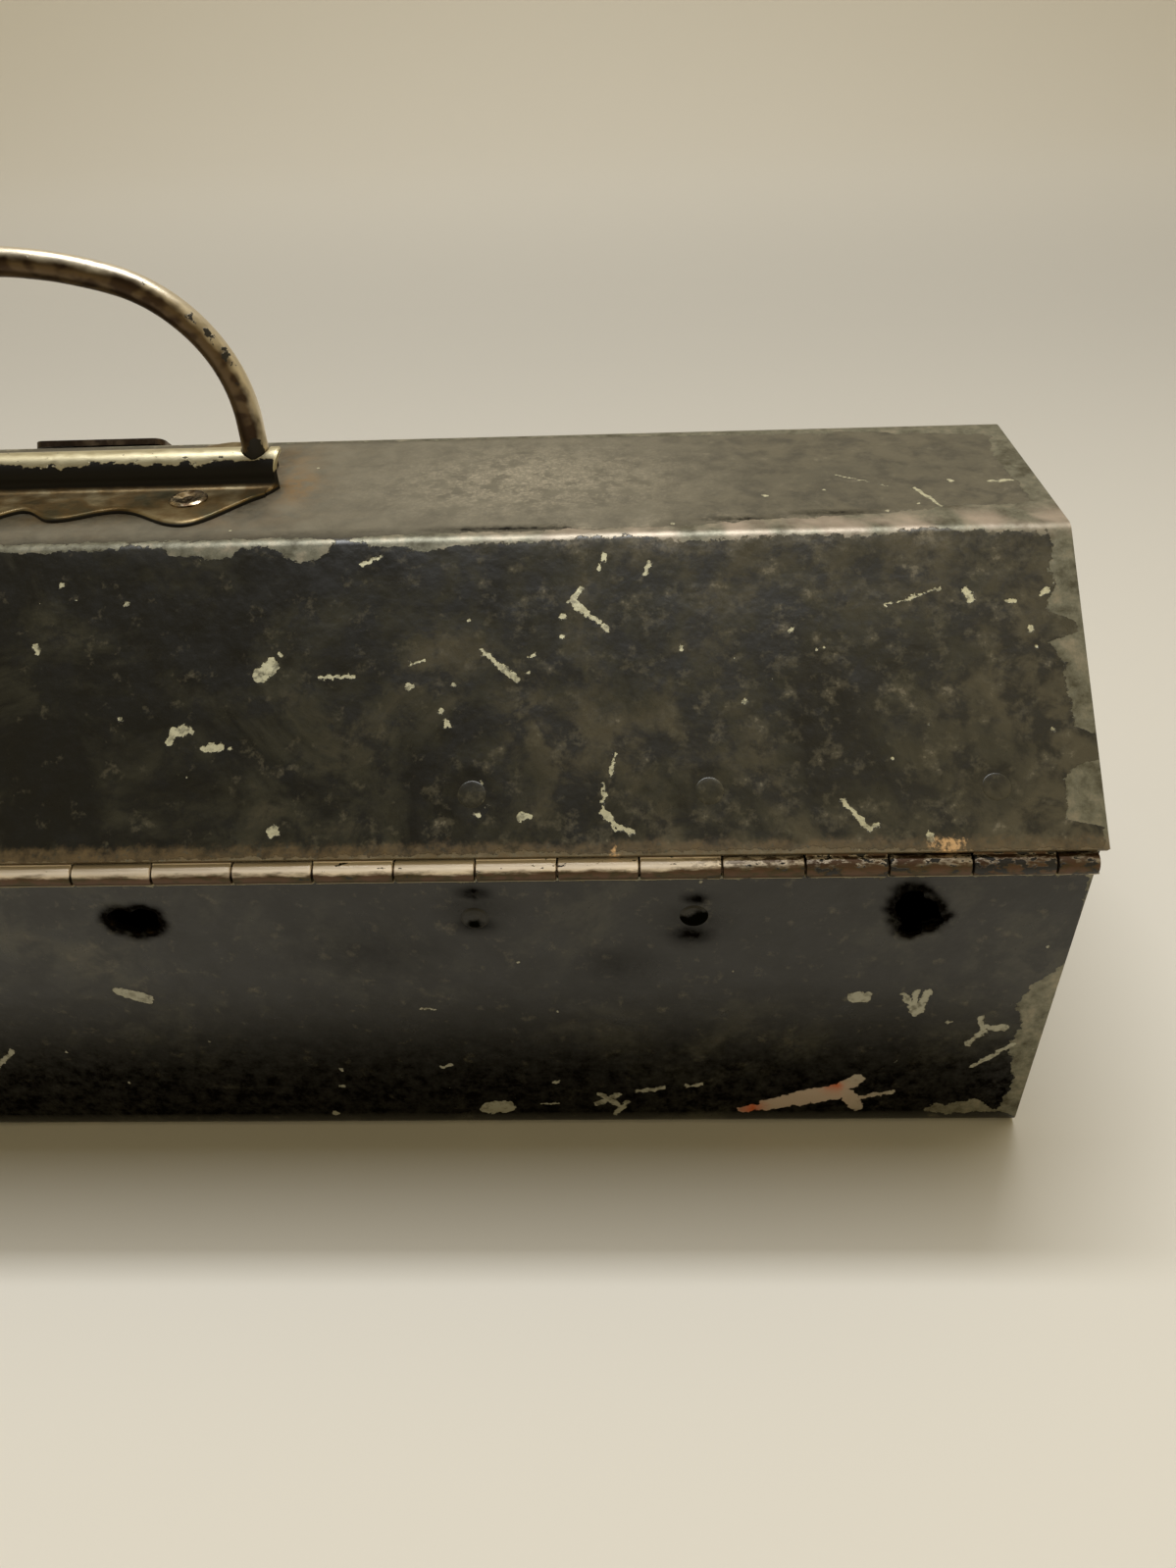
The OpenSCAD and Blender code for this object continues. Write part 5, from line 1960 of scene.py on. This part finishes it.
@dataclass
class HandlePlate:
    """The stamped plate that holds the bail: a scalloped sheet with a raised half-round channel.

    Its short ends bow outwards by bow at bow_reach from the centre line, from bow_run before
    the end on. Over round_over its edges fall away, the crest by the share crest_fall of that.
    """

    half: float = 44.4
    thick: float = 0.9
    inside: float = 2.98
    outside: float = 3.88
    flare: float = 1.7
    leg_x: float = 40.0
    slot_r: float = 2.63
    round_over: float = 0.35
    bow: float = 1.9
    bow_run: float = 2.4
    bow_reach: float = 6.0
    crest_fall: float = 0.35
    least_z: float = 0.25
    cut: float = 1.5
    outline: Line = (
        (0.0, 11.6), (6.8, 15.9), (17.2, 12.6), (30.4, 18.8), (44.4, 6.3),
    )

    def reach(self, x: Array) -> Array:
        """How far the plate's edge is from its centre line.

        Half cosine waves run from each turning point of the outline to the next.

        Args:
            x: places along the plate.

        Returns:
            Distances in millimetres.
        """
        far, out = np.array(self.outline).T
        x = np.clip(np.abs(x), 0, self.half)
        i = np.clip(np.searchsorted(far, x, side="right") - 1, 0, len(far) - 2)
        share = (x - far[i]) / (far[i + 1] - far[i])
        return out[i] + (out[i + 1] - out[i]) * (1 - np.cos(np.pi * share)) / 2

    def half_section(self) -> tuple[Array, Array]:
        """Half of the section, from the edge inwards to the crest.

        Returns:
            Rows of (share of the flange from edge to foot, or 2 past it, y, z) for the outer
            face, and rows of (y, z) for the inner face.
        """
        share = np.array([0.0, 0.02, 0.045, 0.08, 0.14, 0.25, 0.4, 0.6, 0.8, 1.0])
        drop = np.array([0.5, 0.22, 0.06, *[0.0] * 7])
        foot, centre = self.outside + self.flare, self.thick + self.flare
        turn = np.radians(np.linspace(0, 90, 9))[1:]
        rise = np.radians(np.linspace(0, 90, 17))[1:]
        step = 2 * np.linspace(0, 1, 9)[1:]
        ring = np.stack([np.cos(rise), np.sin(rise)], -1)
        outer = np.concatenate([
            np.stack([np.full_like(share, foot), self.thick - drop], -1),
            np.stack([foot - self.flare * np.sin(turn), centre - self.flare * np.cos(turn)], -1),
            self.outside * ring + [0.0, centre],
        ])
        low_y = foot + (self.inside - foot) * np.minimum(step, 1)
        inner = np.concatenate([
            np.stack([np.full_like(share, foot), np.zeros_like(share)], -1),
            np.stack([low_y, centre * np.clip(step - 1, 0, 1)], -1),
            self.inside * ring + [0.0, centre],
        ])
        past = np.full(len(outer) - len(share), 2.0)
        return np.column_stack([np.concatenate([share, past]), outer]), inner

    def section(self, x: Array) -> tuple[Array, Array]:
        """Outer and inner points of the whole plate as grids of rows across it.

        Args:
            x: places along the plate.

        Returns:
            Two grids of points, rows by columns by three, from the plate's own centre.
        """
        outer, inner = self.half_section()
        foot = self.outside + self.flare
        reach = self.reach(x)
        share = outer[:, :1]
        on_flange = share <= 1.0
        edge = reach[None, :] + (foot - reach[None, :]) * np.minimum(share, 1.0)
        ends = np.maximum(self.half - np.abs(x), 0)[None, :]
        fall = 0.5 * smooth(self.round_over, 0.0, ends) * np.ones_like(share)
        y_out = np.where(on_flange, edge, outer[:, 1:2])
        fall = np.where(on_flange, fall, self.crest_fall * fall)
        z_out = np.maximum(outer[:, 2:3] - fall, self.least_z)
        y_in = np.where(on_flange, edge, inner[:, :1])
        z_in = np.broadcast_to(inner[:, 1:2], y_in.shape)
        x_grid = np.broadcast_to(x[None, :], y_out.shape)
        near = smooth(self.half - self.bow_run, self.half, np.abs(x_grid))
        near = self.bow * near * np.sign(x_grid)
        grids = []
        for y, z in ((y_out, z_out), (y_in, z_in)):
            side = np.stack([x_grid - near * (y / self.bow_reach) ** 2, y, z], -1)
            grids.append(np.concatenate([side, (side * [1.0, -1.0, 1.0])[-2::-1]]))
        return tuple(grids)

    def slot_depth(self, points: Array) -> Array:
        """How far a point lies inside a leg's slot: round behind the leg, straight in front.

        Args:
            points: points in the plate's own frame.

        Returns:
            The depths, below zero outside.
        """
        dx = np.abs(np.abs(points[..., 0]) - self.leg_x)
        y = points[..., 1]
        front = np.minimum(self.slot_r - dx, points[..., 2] - self.thick)
        return np.where(y > 0, self.slot_r - np.hypot(dx, y), front)

    def build(self) -> bpy.types.Object:
        """Makes the plate and hides the plain one.

        Returns:
            The plate.
        """
        near, far = self.leg_x - self.slot_r, self.leg_x + self.slot_r
        runs = [(0.0, near, 44), (near, far, 14), (far, self.half - 0.5, 5)]
        half = [np.linspace(a, b, n + 1)[:-1] for a, b, n in runs]
        half = np.concatenate([*half, np.linspace(self.half - 0.5, self.half, 6)])
        x = np.concatenate([-half[:0:-1], half])
        outer, inner = self.section(x)
        low = outer[1:, 1:, 2] <= self.thick + 0.02
        behind = (outer[1:, 1:, 1] < -self.thick) & (np.abs(x[1:] + x[:-1]) / 2 > far - self.cut)
        keep = ((corner_mean(self.slot_depth(outer)) < 0) | low) & ~behind
        self.round_slot(outer, inner, keep)
        crest = np.clip((outer[..., 2] - self.thick) / (self.flare + self.outside), 0, 1)
        shift = np.array([0.0, SHAPE.bar_y, SHAPE.top_z])
        lip = smooth(0.35, 0.1, self.half - np.abs(x)) * smooth(0.2, 0.8, crest)
        values = {"crest": crest, "lip": lip}
        piece = Plate(outer + shift, inner + shift, keep).build("handle_plate_shell", values)
        return add_piece(piece, Body.LID, Slot.BRONZE, PlateFinish().material(), "handle_plate")

    def round_slot(self, outer: Array, inner: Array, keep: Array) -> None:
        """Pulls the points behind each leg onto the slot's round end, along the plate.

        Args:
            outer: outer grid, changed in place.
            inner: inner grid, changed in place.
            keep: which cells hold metal.
        """
        y = outer[..., 1]
        edge = on_brink(keep) & (y > 0.0) & (y < self.slot_r)
        side = np.sign(outer[..., 0])
        dx = np.abs(outer[..., 0]) - self.leg_x
        want = np.sqrt(np.maximum(self.slot_r**2 - y**2, 0.0))
        new = side * (self.leg_x + np.where(dx < 0, -want, want))
        for grid in (outer, inner):
            grid[..., 0] = np.where(edge, new, grid[..., 0])


@dataclass
class Bail:
    """The carrying bail: one wire bent into a flat loop, its lower bar inside the channel."""

    wire_r: float = 2.36
    leg_x: float = 40.0
    foot_r: float = 3.2
    crown_z: float = 66.2
    crown_r: float = 75.0
    shoulder_x: float = 14.6
    shoulder_z: float = 113.603
    shoulder_r: float = 25.4
    around: int = 36
    step: float = 0.8

    def centre_line(self) -> tuple[Array, Array, Array]:
        """The wire's middle, its outward normals and lengths, once round the loop.

        Corners of three radii are joined by straight runs: two feet, two shoulders and the crown.

        Returns:
            Points (x, z), normals (x, z) and lengths.
        """
        lean = np.arcsin(self.shoulder_x / (self.crown_r - self.shoulder_r))
        foot_x, foot_z = self.leg_x - self.foot_r, SHAPE.bar_z + self.foot_r
        half = [
            self.bend((0.0, self.crown_z), self.crown_r, np.pi / 2, np.pi / 2 - lean),
            self.bend((self.shoulder_x, self.shoulder_z), self.shoulder_r, np.pi / 2 - lean, 0.0),
            self.bend((foot_x, foot_z), self.foot_r, 0.0, -np.pi / 2),
        ]
        right = np.concatenate(half)
        flat = np.linspace(foot_x, 0.0, int(foot_x / self.step))[1:]
        bar = np.stack([flat, np.full_like(flat, SHAPE.bar_z), 0 * flat, -1 + 0 * flat], -1)
        legs = np.linspace(self.shoulder_z, foot_z, 7)[1:-1]
        leg = np.stack([0 * legs + self.leg_x, legs, 1 + 0 * legs, 0 * legs], -1)
        cut = len(half[0]) + len(half[1])
        right = np.concatenate([right[:cut], leg, right[cut:], bar])
        left = right[::-1] * np.array([-1.0, 1.0, -1.0, 1.0])
        loop = np.concatenate([right, left[1:-1]])
        gap = np.hypot(*np.diff(np.concatenate([loop, loop[:1]])[:, :2], axis=0).T)
        loop = loop[gap > 1e-6]
        gap = gap[gap > 1e-6]
        return loop[:, :2], loop[:, 2:], np.concatenate([[0.0], np.cumsum(gap)[:-1]])

    def bend(self, centre: tuple[float, float], radius: float, start: float, end: float) -> Array:
        """Points of an arc with their outward normals, as rows of x, z, nx, nz.

        Args:
            centre: its centre.
            radius: its radius.
            start: its first angle.
            end: its last angle.

        Returns:
            One row for each point.
        """
        count = max(8, int(abs(end - start) * radius / self.step))
        angle = np.linspace(start, end, count)
        cos, sin = np.cos(angle), np.sin(angle)
        return np.stack([centre[0] + radius * cos, centre[1] + radius * sin, cos, sin], -1)

    def build(self) -> bpy.types.Object:
        """Makes the bail and hides the plain one.

        Each ring's point at angle a is c + r (cos a n + sin a y), with n the loop's normal. The
        radius is a little less than the wire's where the wire is dinted.

        Returns:
            The bail.
        """
        line, normal, along = self.centre_line()
        angle = np.linspace(0, 2 * np.pi, self.around + 1)
        a_grid, s_grid = np.meshgrid(angle, along)
        dint = 0.5 + 0.5 * np.clip(Ripple(31, 26.0, 5.0).at(s_grid, a_grid * 2.4), -1, 1)
        wrapped = np.minimum(a_grid, 2 * np.pi - a_grid) / np.pi
        closing = np.minimum(s_grid, along[-1] - s_grid)
        radius = self.wire_r - 0.07 * dint * smooth(0.0, 0.3, wrapped) * smooth(0.0, 6.0, closing)
        cos, sin = np.cos(a_grid), np.sin(a_grid)
        x = line[:, :1] + radius * cos * normal[:, :1]
        z = line[:, 1:] + radius * cos * normal[:, 1:]
        points = np.stack([x, SHAPE.bar_y + radius * sin, z], -1)[:, :-1]
        faces = MeshMaker.ring_faces(np.arange(points[..., 0].size).reshape(points.shape[:2]))
        values = {"outer": np.cos(a_grid)[:, :-1].reshape(-1)}
        piece = MeshMaker.build("bail", points.reshape(-1, 3), [faces], values, 60.0)
        return add_piece(piece, Body.BAIL, Slot.WIRE, WireFinish().material(), "bail_handle")


@dataclass
class Fittings:
    """Finishes for the pieces that keep the frame's own meshes."""

    nodes: dict[str, bpy.types.Object]
    bronze: BrownedSteel = BrownedSteel(
        "rivet_bronze", tone(92, 74, 54), tone(224, 206, 176), tone(40, 28, 20),
        share=0.47, metal=0.9, rough=0.2,
    )
    steel: BrownedSteel = BrownedSteel(
        "rubbed_steel", tone(120, 112, 98), tone(176, 168, 150), tone(62, 50, 38), share=0.48,
    )
    hasp: BrownedSteel = BrownedSteel(
        "hasp_steel", tone(64, 50, 38), tone(120, 104, 84), tone(34, 27, 20),
        share=0.54, metal=0.7, rough=0.4,
    )
    painted: BrownedSteel = BrownedSteel(
        "painted_rivet", tone(30, 28, 22), tone(44, 41, 33), tone(16, 14, 11),
        share=0.52, metal=0.0, rough=0.44,
    )
    pits: tuple[Ball, ...] = (
        (Vector((-81.2, 65.2, 53.8)), 1.5), (Vector((-117.6, 65.2, 54.2)), 2.6),
        (Vector((-115.4, 65.2, 53.6)), 2.2), (Vector((81.3, 65.2, 54.6)), 1.3),
    )

    def build(self) -> None:
        """Gives each kept piece its finish."""
        lean = 1.0 / float(np.tan(SHAPE.lean))
        pitted = replace(self.painted, name="pitted_rivet", gloss=0.4, pits=self.pits)
        for finish, *names in (
            (EndPaint("base_end_paint", 0.0, SHAPE.base_h, SHAPE.base_y),
             "base_end_left", "base_end_right"),
            (EndPaint("lid_end_paint", SHAPE.lid_z, SHAPE.top_z, SHAPE.lid_y, lean),
             "lid_end_left", "lid_end_right"),
            (HingeSteel("pin_steel"), "hinge_pin"),
            (self.bronze, "handle_rivets"),
            (self.steel, "turn_staple", "staple_washer", "hasp_pin"),
            (self.hasp, "hasp_leaf", "hasp_strap", "staple_keeper"),
            (self.painted, "hasp_rivets", "keeper_rivets"),
            (pitted, "base_hinge_rivets"),
        ):
            material = finish.material()
            for name in names:
                dress(self.nodes[name], material)
                LOG.info("%s dressed with %s", name, material.name)


@dataclass(frozen=True)
class Lamp:
    """An area lamp, with its places and its width and depth in metres and its power in watts."""

    name: str
    place: Point
    target: Point
    size: tuple[float, float]
    power: float
    colour: Colour = (0.96, 0.98, 1.0)

    def build(self) -> None:
        """Hangs the lamp so that it faces its target."""
        data = bpy.data.lights.new(self.name, "AREA")
        data.shape, data.energy, data.color = "RECTANGLE", self.power, self.colour
        data.size, data.size_y = self.size
        lamp = bpy.data.objects.new(self.name, data)
        turn = (Vector(self.place) - Vector(self.target)).to_track_quat("Z", "Y")
        lamp.matrix_world = Matrix.Translation(self.place) @ turn.to_matrix().to_4x4()
        bpy.context.scene.collection.objects.link(lamp)


@dataclass
class Studio:
    """The pale floor that curves up into a backdrop, the lamps, the sky and the camera.

    Angles are in degrees: how far the camera looks down, aside and is tilted.
    """

    floor: Colour = tone(226, 222, 213)
    seen: Colour = (1.0, 0.957, 0.872)
    eye: Vector = field(default_factory=lambda: Vector((-0.10631, 0.19530, 0.18389)))
    down: float = 37.74
    aside: float = 2.52
    tilt: float = -2.40
    lens: float = 25.97
    paper: float = 0.8
    dim: float = 0.4
    dim_at: float = -0.45
    dim_wide: float = 0.45
    lamps: tuple[Lamp, ...] = (
        Lamp("strip", (-0.04, -0.435, 1.32), (-0.04, 0.065, 0.07), (0.8, 0.12), 9.8),
        Lamp("ceiling", (-0.04, -0.17, 1.33), (-0.04, 0.0, 0.05), (1.0, 0.38), 5.45),
    )
    sky: Colour = (1.0, 0.83, 0.48)
    sky_high: float = 0.6
    sky_low: float = 0.07
    ceiling_at: Point = (0.25, 0.42, 0.86)
    sweep_x: float = 3.2
    sweep_front: float = 2.2
    sweep_back: float = -1.0
    sweep_r: float = 0.8
    sweep_top: float = 2.4

    def build(self) -> None:
        """Makes the whole studio."""
        self.backdrop()
        for lamp in self.lamps:
            lamp.build()
        self.sky_dome()
        self.camera()

    def backdrop(self) -> None:
        """A floor that sweeps up on the far side, in one sheet.

        The camera sees the paper by its "shade"; the box sees it as plain paper.
        """
        across = np.linspace(-self.sweep_x, self.sweep_x, 97)
        flat = np.linspace(self.sweep_front, self.sweep_back, 65)
        turn = np.linspace(0, np.pi / 2, 17)[1:]
        rise = np.linspace(self.sweep_r, self.sweep_top, 7)[1:]
        far = self.sweep_back - self.sweep_r
        y = np.concatenate([flat, self.sweep_back - self.sweep_r * np.sin(turn), [far] * len(rise)])
        z = np.concatenate([0 * flat, self.sweep_r - self.sweep_r * np.cos(turn), rise])
        x_grid, y_grid = np.meshgrid(across, y)
        points = np.stack([x_grid, y_grid, np.broadcast_to(z[:, None], x_grid.shape)], -1)
        faces = MeshMaker.grid_faces(*x_grid.shape)
        values = {"shade": self.shade(points)}
        sheet = points.reshape(-1, 3) / MM
        sweep = MeshMaker.build("backdrop", sheet, [faces], values, recalc=False)
        g = Graph("backdrop_paper")
        seen = g.add("LightPath").outputs["Is Camera Ray"]
        shown = g.blend(g.attribute("shade"), (0.0, 0.0, 0.0), self.seen)
        dress(sweep, g.surface(g.blend(seen, self.floor, shown), 0.0, 0.85))

    def shade(self, points: Array) -> Array:
        """How light the paper is shown: paper (1 - dim exp(-((y - dim_at) / dim_wide)^2)).

        Args:
            points: grid of points in metres.

        Returns:
            One share for each point.
        """
        away = (points[..., 1] - self.dim_at) / self.dim_wide
        return (self.paper * (1 - self.dim * np.exp(-(away**2)))).reshape(-1)

    def sky_dome(self) -> None:
        """A warm sky with a dark ceiling over the viewer, which fades out to one side.

        The light is high, less a part that follows the angle to the ceiling's middle.
        """
        world = bpy.data.worlds.new("sky")
        g = Graph("sky", world)
        toward = g.add("TexCoord").outputs["Generated"]
        near = g.vector("DOT_PRODUCT", toward, tuple(Vector(self.ceiling_at).normalized()))
        shade = g.times(g.step(near, 0.55, 0.9), g.step(g.split(toward)[0], -0.42, -0.02))
        strength = g.between(shade, self.sky_high, self.sky_low)
        ground = g.add("Background", {"Color": self.sky, "Strength": strength})
        g.add("OutputWorld", {"Surface": ground.outputs[0]})
        bpy.context.scene.world = world

    def camera(self) -> None:
        """The camera, turned down, aside and a little over."""
        down, aside, tilt = (radians(a) for a in (self.down, self.aside, self.tilt))
        right = Vector((-np.cos(aside), -np.sin(aside), 0.0))
        ahead = Vector((
            np.sin(aside) * np.cos(down), -np.cos(aside) * np.cos(down), -np.sin(down),
        ))
        above = Vector((
            np.sin(aside) * np.sin(down), -np.cos(aside) * np.sin(down), np.cos(down),
        ))
        turned = right * np.cos(tilt) + above * np.sin(tilt)
        upright = above * np.cos(tilt) - right * np.sin(tilt)
        data = bpy.data.cameras.new("view")
        data.lens, data.sensor_width, data.sensor_fit = self.lens, 36.0, "AUTO"
        data.clip_start = 0.01
        camera = bpy.data.objects.new("view", data)
        place = Matrix((turned, upright, -ahead)).transposed().to_4x4()
        camera.matrix_world = Matrix.Translation(self.eye) @ place
        bpy.context.scene.collection.objects.link(camera)
        bpy.context.scene.camera = camera
        bpy.context.scene.view_settings.view_transform = "Standard"


def main() -> None:
    """Builds the lunch box's looks and the studio."""
    lid = LidShell()
    lid.build()
    LidRivets().build(lid)
    BaseShell().build()
    steel = HingeSteel().material()
    HingeRow().build(Body.BASE, 0, steel)
    HingeRow().build(Body.LID, 1, steel)
    HandlePlate().build()
    Bail().build()
    Fittings(frame["nodes"]).build()
    Studio().build()


if __name__ == "__main__":
    main()
